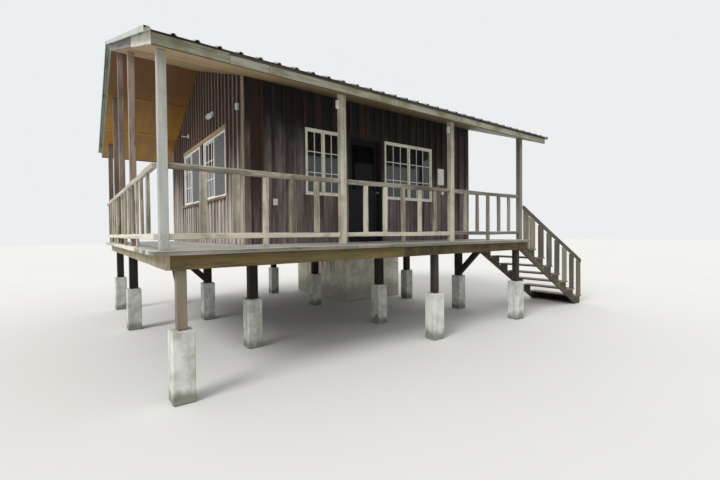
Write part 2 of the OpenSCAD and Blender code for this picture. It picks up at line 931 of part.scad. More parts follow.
module ridge_cap() {
    y0 = apex_y(cap_base) - ridge_cap_wing * cos(front_pitch);
    y1 = apex_y(cap_base) + ridge_cap_wing * cos(rear_pitch);
    t = sheet_thickness;
    color("#4a4e54") placed() along_x(sheet_left_x, sheet_length)
        polygon([
            [y0, front_plane(y0, cap_base)],
            [apex_y(cap_base), front_plane(apex_y(cap_base), cap_base)],
            [y1, rear_plane(y1, cap_base)],
            [y1, rear_plane(y1, cap_base + t)],
            [apex_y(cap_base + t), front_plane(apex_y(cap_base + t), cap_base + t)],
            [y0, front_plane(y0, cap_base + t)]
        ]);
}

// Cross-section of the metal edge, with its inner corner at the sheet's edge and rib top
module edge_outline() {
    t = trim_metal;
    polygon([
        [-t, -edge_trim_drop], [0, -edge_trim_drop], [0, 0],
        [edge_trim_top, 0], [edge_trim_top, t], [-t, t]
    ]);
}

module roof_edge_trim() {
    wing = ridge_cap_wing + edge_trim_gap;
    color("#c9ccca") placed() for (side = [0, 1])
        translate([side == 0 ? sheet_left_x : sheet_left_x + sheet_length, 0, 0])
            mirror([side, 0, 0]) {
                up_front(cap_base, front_run - wing) edge_outline();
                up_rear(cap_base, rear_run - wing) edge_outline();
            }
}

// The fascias close the ends of the rafters, under the sheets
module fascias() {
    y1 = rear_eave_y - fascia_thickness;
    color(timber_grey) placed() {
        along_x(roof_left_x, roof_length)
            front_layer_upright(eave_y, eave_y + fascia_thickness);
        along_x(roof_left_x, roof_length)
            rear_layer_upright(y1, rear_eave_y);
    }
}

// An upright board's cross-section from the ceiling's underside to the rafters' top
module front_layer_upright(y0, y1) {
    polygon([
        [y0, front_plane(y0, 0)], [y1, front_plane(y0, 0)],
        [y1, front_plane(y1, rafter_top)], [y0, front_plane(y0, rafter_top)]
    ]);
}

module rear_layer_upright(y0, y1) {
    polygon([
        [y0, rear_plane(y1, 0)], [y1, rear_plane(y1, 0)],
        [y1, rear_plane(y1, rafter_top)], [y0, rear_plane(y0, rafter_top)]
    ]);
}

module bargeboards_front() {
    color(paint_white) placed() for (x = [roof_left_x, roof_right_x - fascia_thickness])
        along_x(x, fascia_thickness)
            front_layer(eave_y + fascia_thickness, ridge_y, 0, rafter_top);
}

module bargeboards_rear() {
    color(timber_grey) placed() for (x = [roof_left_x, roof_right_x - fascia_thickness])
        along_x(x, fascia_thickness)
            rear_layer(ridge_y, rear_eave_y - fascia_thickness, 0, rafter_top);
}

// Stair

function seat_level(k) = deck_height - k * rise - tread_thickness;

// Outline of a cut stringer in the XZ plane, stepped on top and straight below
module stringer_outline() {
    slope = rise / going;
    tuck_x = stair_x - stringer_tuck;
    heel_x = tuck_x + frame_bottom / slope;
    steps = [
        for (k = [1 : tread_count], e = [0, 1])
            [stair_x + (k - 1 + e) * going, seat_level(k)]
    ];
    polygon(concat(
        [[tuck_x, frame_bottom], [stair_x, frame_bottom]],
        steps,
        [[stair_end_x, 0], [heel_x, 0]]
    ));
}

module stair_stringers() {
    color(timber_dark) placed() for (y = [stair_y, stair_y + stair_width - stringer_thickness])
        along_y(y, stringer_thickness) stringer_outline();
}

module stair_treads() {
    color(timber_grey) placed() for (k = [1 : tread_count])
        block(
            [stair_x + k * going + nosing - tread_depth, stair_y - tread_overhang, seat_level(k)],
            [tread_depth, stair_width + 2 * tread_overhang, tread_thickness]
        );
}

module stair_foot() {
    color(timber_dark) placed() block(
        [stair_end_x - stringer_thickness, stair_y + stringer_thickness, 0],
        [stringer_thickness, stair_width - 2 * stringer_thickness, stair_foot_level]
    );
}

// Height of the handrail's top over the ground at a place of X
function handrail_level(x) = deck_height + stair_rail_start
    - (x - handrail_start_x) * (deck_height + stair_rail_start - stair_rail_end)
    / (handrail_end_x - handrail_start_x);

// One upright board of the stair rail, whose top follows the handrail
module stair_board(x0, x1, foot) {
    polygon([
        [x0, foot], [x1, foot],
        [x1, handrail_level(x1) - handrail_height], [x0, handrail_level(x0) - handrail_height]
    ]);
}

module stair_rail() {
    board_y = stair_y - tread_overhang + 2;
    rail_y = board_y + (stair_board_thickness - handrail_width) / 2;
    color(timber_grey) placed() union() {
        along_y(rail_y, handrail_width)
            polygon([
                [handrail_start_x, handrail_level(handrail_start_x)],
                [handrail_start_x, handrail_level(handrail_start_x) - handrail_height],
                [handrail_end_x, handrail_level(handrail_end_x) - handrail_height],
                [handrail_end_x, handrail_level(handrail_end_x)]
            ]);
        along_y(board_y, stair_board_thickness) {
            stair_board(stair_x, stair_x + stair_board_width / 2, frame_bottom);
            for (k = [1 : tread_count]) {
                middle = stair_x + k * going + nosing - tread_depth / 2;
                stair_board(
                    middle - stair_board_width / 2, middle + stair_board_width / 2,
                    seat_level(k) + tread_thickness
                );
            }
        }
    }
}

piers_front();
piers_inner();
stilts_front();
stilts_inner();
knee_braces();
concrete_core();
floor_frame();
rim_joists();
deck_front();
deck_left();
house_floor();
front_wall_left();
front_wall_right();
front_wall_over_door();
left_wall();
right_wall();
back_wall();
corner_boards();
window_frames_front();
window_frames_left();
window_frames_right();
window_frames_back();
window_glass();
window_trims();
door_frame();
front_door();
door_glass();
posts_front();
posts_left();
rail_front();
rail_left();
ceiling_front();
ceiling_rear();
ridge_board();
rafters();
roof_sheet_front();
roof_sheet_rear();
ridge_cap();
roof_edge_trim();
fascias();
bargeboards_front();
bargeboards_rear();
stair_stringers();
stair_treads();
stair_foot();
stair_rail();
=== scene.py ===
"""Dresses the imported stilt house: its boards, battens, windows, rails, roof, finishes, light and camera."""

import math
import random
from itertools import pairwise

import bmesh
import bpy
from mathutils import Matrix, Vector, noise


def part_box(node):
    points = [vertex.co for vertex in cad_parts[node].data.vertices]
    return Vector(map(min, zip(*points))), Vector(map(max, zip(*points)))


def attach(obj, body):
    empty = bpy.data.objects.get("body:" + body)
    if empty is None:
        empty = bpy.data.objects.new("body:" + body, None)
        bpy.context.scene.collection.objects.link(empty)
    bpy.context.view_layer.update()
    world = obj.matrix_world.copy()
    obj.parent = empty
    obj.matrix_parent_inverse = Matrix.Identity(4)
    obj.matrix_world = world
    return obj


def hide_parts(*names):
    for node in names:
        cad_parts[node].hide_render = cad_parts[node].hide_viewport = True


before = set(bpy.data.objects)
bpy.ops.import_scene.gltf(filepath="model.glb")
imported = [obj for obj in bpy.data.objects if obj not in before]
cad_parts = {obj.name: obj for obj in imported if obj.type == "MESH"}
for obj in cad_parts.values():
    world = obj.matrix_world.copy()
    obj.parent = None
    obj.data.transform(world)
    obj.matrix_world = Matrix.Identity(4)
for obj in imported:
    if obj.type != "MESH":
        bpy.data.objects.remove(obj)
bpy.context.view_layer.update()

UP = Vector((0, 0, 1))
RIGHT = Vector((1, 0, 0))
BACK = Vector((0, 1, 0))


# Places that more than one sub-part needs

def points_of(node):
    """Places of a CAD node's corners."""
    return [v.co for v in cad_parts[node].data.vertices]


def roof_plane(node, outer):
    """The underside of a ceiling node as (place of the ridge, its level, rise per metre of Y)."""
    points = points_of(node)
    ridge, eave = (max(points, key=lambda p: sign * outer * p.y).y for sign in (-1, 1))
    level, low = (min(p.z for p in points if abs(p.y - y) < 1e-4) for y in (ridge, eave))
    return ridge, level, (level - low) / abs(ridge - eave)


RIDGE_Y, RIDGE_Z, FRONT_RISE = roof_plane("ceiling_front", -1)
REAR_RISE = roof_plane("ceiling_rear", 1)[2]
DECK_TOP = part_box("deck_front")[1].z
HOUSE_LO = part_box("left_wall")[0]
HOUSE_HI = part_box("right_wall")[1]
LEFT_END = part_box("rim_joists")[0].x


def roof_level(y, height=0.0):
    """Level over a place of Y, so high above the ceiling's underside."""
    rise = FRONT_RISE if y < RIDGE_Y else REAR_RISE
    return RIDGE_Z - abs(y - RIDGE_Y) * rise + height * math.hypot(1, rise)


# Node making

def tint(code):
    """A screen colour, written 0xRRGGBB, as the shader's linear colour."""
    parts = [(code >> shift & 255) / 255 for shift in (16, 8, 0)]
    linear = [c / 12.92 if c <= 0.04045 else ((c + 0.055) / 1.055) ** 2.4 for c in parts]
    return (*linear, 1.0)


class Value:
    """A number that changes over a surface; arithmetic on it adds Math nodes."""

    def __init__(self, nodes, socket):
        self.nodes = nodes
        self.socket = socket

    def apply(self, operation, *numbers):
        return self.nodes.value("ShaderNodeMath", dict(enumerate(numbers)), operation=operation)

    def __add__(self, other):
        return self.apply("ADD", self, other)

    def __sub__(self, other):
        return self.apply("SUBTRACT", self, other)

    def __rsub__(self, other):
        return self.apply("SUBTRACT", other, self)

    def __mul__(self, other):
        return self.apply("MULTIPLY", self, other)

    __radd__ = __add__
    __rmul__ = __mul__

    def away_from(self, middle):
        """Distance of the value from a middle."""
        return self.apply("ABSOLUTE", self - middle)

    def larger(self, other):
        return self.apply("MAXIMUM", self, other)

    def from_to(self, low, high):
        """0 below low, 1 above high and smooth between; low above high turns it round."""
        ends = {"Value": self, "From Min": low, "From Max": high}
        return self.nodes.value("ShaderNodeMapRange", ends, interpolation_type="SMOOTHSTEP")


class Nodes:
    """The nodes of one material or of the world."""

    def __init__(self, tree):
        self.tree = tree
        self.tree.nodes.clear()

    def feed(self, socket, given):
        """Links or sets a socket; a whole number for a colour is a screen colour."""
        if isinstance(given, Value):
            given = given.socket
        if isinstance(given, bpy.types.NodeSocket):
            self.tree.links.new(given, socket)
        elif socket.type == "RGBA" and isinstance(given, int):
            socket.default_value = tint(given)
        else:
            socket.default_value = given

    def node(self, kind, inputs=None, **settings):
        """Any node: its settings are set first, then the values or links of its sockets."""
        made = self.tree.nodes.new(kind)
        for name, setting in settings.items():
            setattr(made, name, setting)
        for name, given in (inputs or {}).items():
            self.feed(made.inputs[name], given)
        return made

    def value(self, kind, inputs=None, output=0, **settings):
        """One output of a new node as a number to reckon with."""
        return Value(self, self.node(kind, inputs, **settings).outputs[output])

    def mix(self, first, second, factor):
        """A colour between two colours."""
        return self.node("ShaderNodeMix", {0: factor, 6: first, 7: second}, data_type="RGBA").outputs[2]


class Finish(Nodes):
    """One material with its shader; its colour is built up coat by coat."""

    def __init__(self, name, **constants):
        self.material = bpy.data.materials.new(name)
        self.material.use_nodes = True
        super().__init__(self.material.node_tree)
        self.shader = self.node("ShaderNodeBsdfPrincipled")
        self.node("ShaderNodeOutputMaterial", {"Surface": self.shader.outputs[0]})
        for label, number in constants.items():
            self.shader.inputs[label.replace("_", " ")].default_value = number
        self.spot = self.node("ShaderNodeTexCoord").outputs["Object"]
        parts = self.node("ShaderNodeSeparateXYZ", {0: self.spot})
        self.x, self.y, self.z = (Value(self, part) for part in parts.outputs)

    def stretched(self, place, along, across, upright=None):
        """A place with its axes scaled, for patterns longer in one direction."""
        scale = (along, across, across if upright is None else upright)
        return self.node("ShaderNodeVectorMath", {0: place, 1: scale}, operation="MULTIPLY").outputs[0]

    def cloud(self, scale, detail, rough=0.55, place=None):
        """Soft noise from 0 to 1, mostly near a half, over the object's own places if no other is given."""
        inputs = {"Vector": place or self.spot, "Scale": scale, "Detail": detail, "Roughness": rough}
        return self.value("ShaderNodeTexNoise", inputs)

    def streaks(self, place, along, across, detail=4.0, rough=0.55, upright=None):
        """Soft noise, finer along an axis the larger that axis's scale is."""
        return self.cloud(1.0, detail, rough, self.stretched(place, along, across, upright))

    def cells(self, place, scale):
        """Distance to the nearest of many scattered points."""
        return self.value("ShaderNodeTexVoronoi", {"Vector": place, "Scale": scale}, "Distance")

    def facing_up(self):
        """1 where the surface looks up, 0 upright, below 0 where it looks down."""
        normal = self.node("ShaderNodeNewGeometry").outputs["Normal"]
        return self.value("ShaderNodeSeparateXYZ", {0: normal}, 2)

    def grain(self):
        """Place in a board, its first axis along the board."""
        return self.node("ShaderNodeAttribute", attribute_name="grain").outputs["Vector"]

    def tone(self):
        """The board's own number from 0 to 1."""
        return self.value("ShaderNodeAttribute", None, "Fac", attribute_name="tone")

    def base(self, first, second, share):
        """The first coat: two colours mixed."""
        self.shade = self.mix(first, second, share)

    def over(self, colour, share):
        """A coat over the ones before it."""
        self.shade = self.mix(self.shade, colour, share)

    def done(self, rough, height=None, depth=0.0, strength=0.6):
        """The material, with bumps from a height of 0 to 1, so many metres deep."""
        self.feed(self.shader.inputs["Base Color"], self.shade)
        self.feed(self.shader.inputs["Roughness"], rough)
        if height:
            bump = self.node("ShaderNodeBump", {"Height": height, "Distance": depth, "Strength": strength})
            self.feed(self.shader.inputs["Normal"], bump.outputs[0])
        return self.material


# Finishes

SOOT = (0.012, 0.008, 0.007, 1.0)
DEEP_SPLIT = (0.008, 0.006, 0.005, 1.0)
MOSS = 0x2C3022
# Blue-grey of the painted reflection in the window glass.
PAINTED_REFLECTION_TINT = 0x465460


def timber(name, pale, deep, crack, bleach_and_top_light=None, algae=None, cover=0.5, spread=0.5, depth=0.0025, ends=()):
    """Rough weathered timber: fibres, splits, knots, paler tops that are partly sun-faded and partly painted
    sunlight, and algae.

    Each of the ends is a colour that grows from one place of X to another: painted sunlight on parts at the
    left, painted shade on parts further right.
    """
    wood = Finish(name)
    grain = wood.grain()
    broad = wood.streaks(grain, 1.1, 9)
    fibre = wood.streaks(grain, 3.0, 95, rough=0.65)
    patch = wood.cloud(1.6, 4.0, 0.6)
    mixed = broad * 0.55 + fibre * 0.45 + (wood.tone() - 0.5) * spread * 0.5 + (patch - 0.5) * 0.35
    wood.base(deep, pale, mixed.from_to(0.26, 0.72))
    knot = wood.cells(wood.stretched(grain, 1.3, 6.5), 1.0).from_to(0.16, 0.06) * patch.from_to(0.42, 0.6)
    wood.over(crack, knot * 0.75)
    split = wood.streaks(grain, 0.8, 34, 2.0).away_from(0.5).from_to(0.022, 0.002)
    split = split * wood.streaks(grain, 1.5, 12, 2.0).from_to(0.46, 0.62)
    wood.over(crack, split * 0.8)
    # Painted light and shade along X: paler where the sun falls at the left, darker further right.
    for shade, begins, full in ends:
        wood.over(shade, wood.x.from_to(begins, full) * (0.35 + 0.5 * broad))
    # Paler faces that look up: partly sun-fading, partly painted sunlight on the tops.
    if bleach_and_top_light:
        wood.over(bleach_and_top_light, wood.facing_up().from_to(0.35, 0.85) * (0.55 + 0.45 * broad) * 0.75)
    if algae:
        damp = wood.cloud(3.1, 5.0, 0.65).from_to(0.62 - 0.25 * cover, 0.78 - 0.2 * cover)
        wood.over(algae, damp * (0.35 + 0.45 * cover))
    height = fibre * 0.6 + broad * 0.5 - split * 0.8 - knot * 0.2
    return wood.done(0.86 + (fibre - 0.5) * 0.2, height, depth)


def siding(name, high, low, warm, pale, warmth):
    """Old stained boards: darker towards the eave, partly the stain and partly painted shade under the roof;
    faded and greyer towards the deck.
    """
    wood = Finish(name)
    grain = wood.grain()
    broad = wood.streaks(grain, 0.9, 8)
    fibre = wood.streaks(grain, 2.4, 80, rough=0.65)
    patch = wood.streaks(wood.spot, 1.4, 1.4, rough=0.6, upright=0.7)
    tone = wood.tone()
    height = wood.z + (patch - 0.5) * 1.7 + (tone - 0.5) * 0.9
    # Darker towards the top: partly the stain, partly painted shade under the roof.
    wood.base(low, high, height.from_to(2.1, 3.6))
    wood.over(warm, (patch * 0.6 + tone * 0.7).from_to(0.62, 0.95) * warmth)
    wood.over(pale, (fibre * 0.5 + broad * 0.6).from_to(0.5, 0.74) * height.from_to(3.6, 1.9) * 0.6)
    streak = (broad * 0.5 + fibre * 0.5).from_to(0.3, 0.62)
    wood.shade = wood.mix(wood.mix(wood.shade, SOOT, 0.55), wood.shade, streak)
    split = wood.streaks(grain, 0.7, 30, 2.0).away_from(0.5).from_to(0.02, 0.002)
    wood.over(DEEP_SPLIT, split * patch.from_to(0.4, 0.6) * 0.7)
    return wood.done(0.8 + (fibre - 0.5) * 0.25, fibre * 0.6 + broad * 0.4 - split, 0.002)


def board_ceiling(name, pale, deep, line, ridge=None, right=None):
    """Varnished boards or sheets with an open grain, other colours towards the ridge, and painted shade to
    the right.
    """
    wood = Finish(name)
    grain = wood.grain()
    broad = wood.streaks(grain, 0.6, 5, 5.0)
    fibre = wood.streaks(grain, 1.6, 48, 3.0)
    mark = wood.cloud(0.9, 4.0)
    wood.base(deep, pale, (broad * 0.5 + mark * 0.4 + wood.tone() * 0.3).from_to(0.32, 0.78))
    if ridge:
        wood.over(ridge, (wood.z + (mark - 0.5) * 1.1).from_to(4.3, 5.2) * 0.85)
    # Painted shade: darker further to the right.
    if right:
        along = wood.x + (mark - 0.5) * 1.2
        wood.over(right, along.from_to(HOUSE_LO.x - 0.8, HOUSE_LO.x + 1.0) * 0.8)
    wood.over(line, fibre.from_to(0.56, 0.75) * 0.35)
    return wood.done(0.48 + (broad - 0.5) * 0.3, fibre, 0.0008, 0.4)


def cast_concrete(name, pale, grey, stain, damp, foot, moss=None):
    """Cast concrete with air holes, stains, a damp foot and moss that runs down near a place of Y."""
    stone = Finish(name)
    mottle = stone.cloud(2.4, 6.0, 0.62)
    blotch = stone.cloud(9.0, 4.0)
    sand = stone.cloud(140.0, 2.0)
    hole = stone.cells(stone.spot, 42.0).from_to(0.2, 0.1) * blotch.from_to(0.5, 0.64)
    stone.base(grey, pale, (mottle * 0.7 + blotch * 0.4).from_to(0.38, 0.68))
    stone.over(stain, sand.from_to(0.62, 0.8) * 0.3)
    runs = stone.streaks(stone.spot, 7.5, 7.5, rough=0.6, upright=0.5).from_to(0.53, 0.7)
    stone.over(stain, runs * mottle.from_to(0.35, 0.6) * 0.6)
    if moss:
        streak = stone.streaks(stone.spot, 13, 13, 3.0, 0.6, 0.8).from_to(0.46, 0.6)
        near = stone.y.away_from(moss).from_to(0.75, 0.25)
        stone.over(MOSS, streak * near * stone.z.from_to(0.5, 1.2) * 0.85)
    edge = stone.z + (stone.streaks(stone.spot, 5, 5, upright=2) - 0.5) * 0.34
    stone.over(damp, edge.from_to(foot, foot * 0.35) * 0.72)
    return stone.done(0.9 - runs * 0.15, sand * 0.25 + blotch * 0.6 + mottle * 0.5 - hole * 0.8, 0.006)


def old_white(name, white, dirt, algae, rough=0.42):
    """White or cream paint, a little chalky, with dirt in places and algae on top of it."""
    paint = Finish(name)
    patch = paint.cloud(3.0, 5.0, 0.62)
    speck = paint.cloud(34.0, 4.0, 0.6)
    paint.base(white, dirt, (patch * 0.6 + speck * 0.4).from_to(0.5, 0.74) * 0.6)
    paint.over(algae, paint.streaks(paint.spot, 1.2, 1.2, upright=7).from_to(0.56, 0.72) * 0.45)
    return paint.done(rough + (speck - 0.5) * 0.3, speck, 0.0006, 0.5)


def clear_pane(name, body, cover, mirror=0.9):
    """Dark glass that mirrors what is bright, with cloudy blue-grey patches of painted reflection in its
    colour.
    """
    pane = Finish(name, Specular_IOR_Level=mirror, IOR=1.5, Alpha=cover)
    smear_and_reflection = pane.cloud(4.0, 4.0)
    # Painted reflection: blue-grey patches mixed into the glass colour; the same noise varies the roughness.
    pane.base(body, PAINTED_REFLECTION_TINT, smear_and_reflection.from_to(0.5, 0.85) * 0.35 * mirror)
    return pane.done(0.035 + smear_and_reflection * 0.06)


def insect_screen(name, wire, gap):
    """Fine grey wire cloth, seen as a veil over the glass."""
    screen = Finish(name, Alpha=0.62)
    weave = screen.cloud(55.0, 2.0)
    screen.base(wire, gap, weave.from_to(0.35, 0.65))
    return screen.done(0.6 + weave * 0.2)


def sheet_metal(name, dark, pale, rust, gloss, metallic=0.5, under=None):
    """Coated sheet: water marks down the slope, dust, rust spots and a plainer underside."""
    metal = Finish(name, Metallic=metallic)
    run = metal.streaks(metal.spot, 11, 0.7, rough=0.6)
    patch = metal.cloud(1.3, 5.0, 0.65)
    grit = metal.cloud(60.0, 3.0)
    metal.base(dark, pale, (run * 0.55 + patch * 0.55).from_to(0.46, 0.72) * 0.6)
    rusty = (patch * 0.6 + grit * 0.4).from_to(0.62, 0.74)
    metal.over(rust, rusty * 0.55)
    if under:
        below = metal.facing_up().from_to(-0.4, -0.7)
        metal.over(metal.mix(rust, under, patch.from_to(0.3, 0.5)), below)
    return metal.done(gloss + run * 0.18 + rusty * 0.3, patch * 0.7 + grit * 0.15, 0.004, 0.35)


def dark_paint(name, blue, worn):
    """Deep blue paint on the door, worn along the grain."""
    paint = Finish(name, Specular_IOR_Level=0.25)
    fibre = paint.streaks(paint.spot, 60, 60, rough=0.6, upright=1.6)
    patch = paint.cloud(3.5, 4.0)
    paint.base(blue, worn, (fibre * 0.5 + patch * 0.5).from_to(0.52, 0.72) * 0.5)
    return paint.done(0.5 + (patch - 0.5) * 0.3, fibre, 0.0007, 0.4)


def plain_plastic(name, pale, grime):
    """Moulded plastic or enamel of the lamps and boxes, dusty on top."""
    cover = Finish(name)
    dust = cover.cloud(16.0, 4.0)
    cover.base(pale, grime, dust.from_to(0.48, 0.72) * 0.5)
    return cover.done(0.38 + dust * 0.25, dust, 0.0004, 0.3)


# The end paints shade on the rails further right.
RAIL = timber(
    "rail_timber", 0xC4BDAB, 0x544C3E, 0x241D17, bleach_and_top_light=0xD2D0C6, algae=0x606048, cover=0.4, spread=0.8,
    ends=((0x6C6A62, -0.4, 0.9),),
)
# A paler copy of the rail timber: painted sunlight on the left rails and the deck's left edge.
PAINTED_SUNLIT_RAIL = timber(
    "sunned_rail_timber", 0xDED9CC, 0xA49C8E, 0x463C32, bleach_and_top_light=0xE2DFD6, algae=0x969480, cover=0.3,
)
# The ends paint light on the leftmost post, pale blue-grey, and painted shade on the posts further right.
POST = timber(
    "post_timber", 0xC6C1AF, 0x7C7767, 0x322B24, algae=0x6C705C, cover=0.4,
    ends=((0xB0B6B4, HOUSE_LO.x - 0.9, HOUSE_LO.x - 1), (0x706D63, -0.4, 0.9)),
)
LEFT_POST = timber("left_post_timber", 0xA09084, 0x60544C, 0x2C2420, algae=0x646656, cover=0.3)
DECK = timber(
    "deck_timber", 0xC4C2B8, 0x726F65, 0x2A2520, bleach_and_top_light=0xDCDCD4, algae=0x686452, cover=0.2, spread=0.8,
)
# The end paints sunlight on the left rim board.
RIM = timber(
    "rim_timber", 0x7A663C, 0x3C301D, 0x1A140D, algae=0x525A30, cover=0.6,
    ends=((0xBAAE92, LEFT_END + 0.05, LEFT_END + 0.04),),
)
DARK = timber("stilt_timber", 0x2C241E, 0x14100D, 0x080605, algae=0x26281E, cover=0.25)
# The end paints sunlight on the leftmost stilt.
STILT = timber(
    "front_stilt_timber", 0x504438, 0x221C17, 0x0E0B09,
    ends=((0x928874, HOUSE_LO.x - 0.9, HOUSE_LO.x - 1),),
)
FASCIA = timber("fascia_timber", 0xACAA98, 0x6C6A5A, 0x3A3428, algae=0x5C6238, cover=0.6)
EAVE_STRIP = timber("eave_strip_timber", 0x685C5A, 0x362E2F, 0x1C1717)
BARGE = timber("barge_paint", 0xDEDCD0, 0xB0AEA0, 0x605A4A, algae=0x969A7E, cover=0.3, depth=0.0015)
OLD_BARGE = timber("old_barge_paint", 0xB4AEB2, 0x7E787C, 0x46423E, algae=0x707664, cover=0.3, depth=0.001)
REAR_BARGE = timber(
    "rear_barge_timber", 0xA4A898, 0x707666, 0x423E34, algae=0x6C7658, cover=0.5, depth=0.0005,
)
TRIM = timber("trim_timber", 0xA89070, 0x6A5640, 0x2E221A)
CORNER = timber("corner_timber", 0xB4A08C, 0x705E52, 0x322620)
LINING = timber("door_lining", 0x42362F, 0x1E1815, 0x0A0807)
STAIR = timber(
    "stair_timber", 0x786E5C, 0x423A30, 0x1C1713, bleach_and_top_light=0xB6B09E, algae=0x54563C, cover=0.4, spread=0.8,
)
STAIR_RAIL = timber(
    "stair_rail_timber", 0x867E6E, 0x484238, 0x221C17, bleach_and_top_light=0xC4BEAC, algae=0x5A5C44, cover=0.4,
    spread=0.9,
)
FRAME = timber("frame_timber", 0x967A54, 0x604A32, 0x281C14)
# Front and side copies of one cladding: the front copies are far darker, partly painted shade of the deep
# veranda roof, and the side copies paler, partly painted sunlight on the left wall.
FRONT_BOARDS = siding("front_siding", 0x181617, 0x7C7173, 0x583625, 0xA89E9B, 0.4)
SIDE_BOARDS = siding("side_siding", 0x241C19, 0xB6AEA4, 0x5A4236, 0xCEC8BF, 0.2)
FRONT_BATTENS = siding("front_battens", 0x201C1C, 0x8A7E7E, 0x5E3C2B, 0xB2A8A3, 0.35)
SIDE_BATTENS = siding("side_battens", 0x887167, 0xD6CFC6, 0x8A6A59, 0xE3DDD5, 0.2)
ROOM = timber("room_lining", 0x463428, 0x2A1E18, 0x100C0A)
# The right colour is painted shade on the front ceiling further right.
FRONT_CEILING = board_ceiling("ceiling_pale", 0xC4AC82, 0x907652, 0x604A32, right=0x5C5434)
REAR_CEILING = board_ceiling("ceiling_golden", 0xB2821E, 0x7E5512, 0x5E3A14, 0x623E26)
CONCRETE = cast_concrete("concrete", 0xD4D6CF, 0xA2A49A, 0x706F62, 0x545746, 0.2)
CORE = cast_concrete(
    "core_concrete", 0xF4F0E0, 0xCEC9B8, 0x807C68, 0x969586, 0.62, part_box("concrete_core")[0].y + 1.1,
)
WHITE = old_white("white_frame", 0xECEDE9, 0xCECEC4, 0xBABEAA)
CREAM = old_white("cream_frame", 0xF6F1DE, 0xCEC6AA, 0xA8A880, 0.5)
GLASS = clear_pane("window_glass", 0x0E1216, 0.86)
DOOR_GLASS = clear_pane("door_glass", 0x07080A, 0.96, 0.12)
SCREEN = insect_screen("insect_screen", 0x606468, 0x8C8F90)
ROOF = sheet_metal("roof_metal", 0x6E7174, 0xB2B5B6, 0x624A3A, 0.3, under=0xA8B09E)
EDGE = sheet_metal("edge_metal", 0xBABEB6, 0x969A8E, 0x806E54, 0.45, 0.1)
DOOR = dark_paint("door_paint", 0x0C0E17, 0x1D1F29)
LAMP = plain_plastic("lamp_white", 0xE2E2DE, 0xACA89C)
GREY_METAL = sheet_metal("zinc", 0x787A78, 0x9C9C96, 0x68543E, 0.36, 0.8)
PAPER = plain_plastic("notice_sheet", 0xE8E8E2, 0xC4C0B2)


# Mesh making

def welded(node, whole=True):
    """A CAD node's mesh as one skin; its flat faces are made whole again, unless they have openings."""
    skin = bmesh.new()
    skin.from_mesh(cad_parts[node].data)
    bmesh.ops.remove_doubles(skin, verts=skin.verts, dist=1e-5)
    if whole:
        bmesh.ops.dissolve_limit(skin, angle_limit=0.01, verts=skin.verts, edges=skin.edges)
    return skin


def extent(places):
    """Lowest and highest corner of the box round some places."""
    return Vector(map(min, zip(*places))), Vector(map(max, zip(*places)))


def solids(node):
    """Lowest and highest corners of each separate solid of a CAD node."""
    skin = welded(node)
    left = set(skin.verts)
    boxes = []
    while left:
        stack = [left.pop()]
        places = []
        while stack:
            vertex = stack.pop()
            places.append(vertex.co)
            near = {edge.other_vert(vertex) for edge in vertex.link_edges} & left
            left -= near
            stack.extend(near)
        boxes.append(extent(places))
    skin.free()
    return sorted(boxes, key=lambda pair: (round(pair[0].x, 3), round(pair[0].y, 3), pair[0].z))


def longest_edge(face):
    """Direction of a face's longest edge."""
    edge = max(face.edges, key=lambda e: e.calc_length())
    return (edge.verts[1].co - edge.verts[0].co).normalized()


def added(name, data):
    """A new object in the scene."""
    made = bpy.data.objects.new(name, data)
    bpy.context.scene.collection.objects.link(made)
    return made


def shown(name, skin, finish, sharp=None):
    """An object in the scene from a skin, smooth where its faces meet below an angle in degrees."""
    mesh = bpy.data.meshes.new(name)
    skin.to_mesh(mesh)
    skin.free()
    mesh.materials.append(finish)
    if sharp:
        mesh.shade_smooth()
        mesh.set_sharp_from_angle(angle=math.radians(sharp))
    return added(name, mesh)


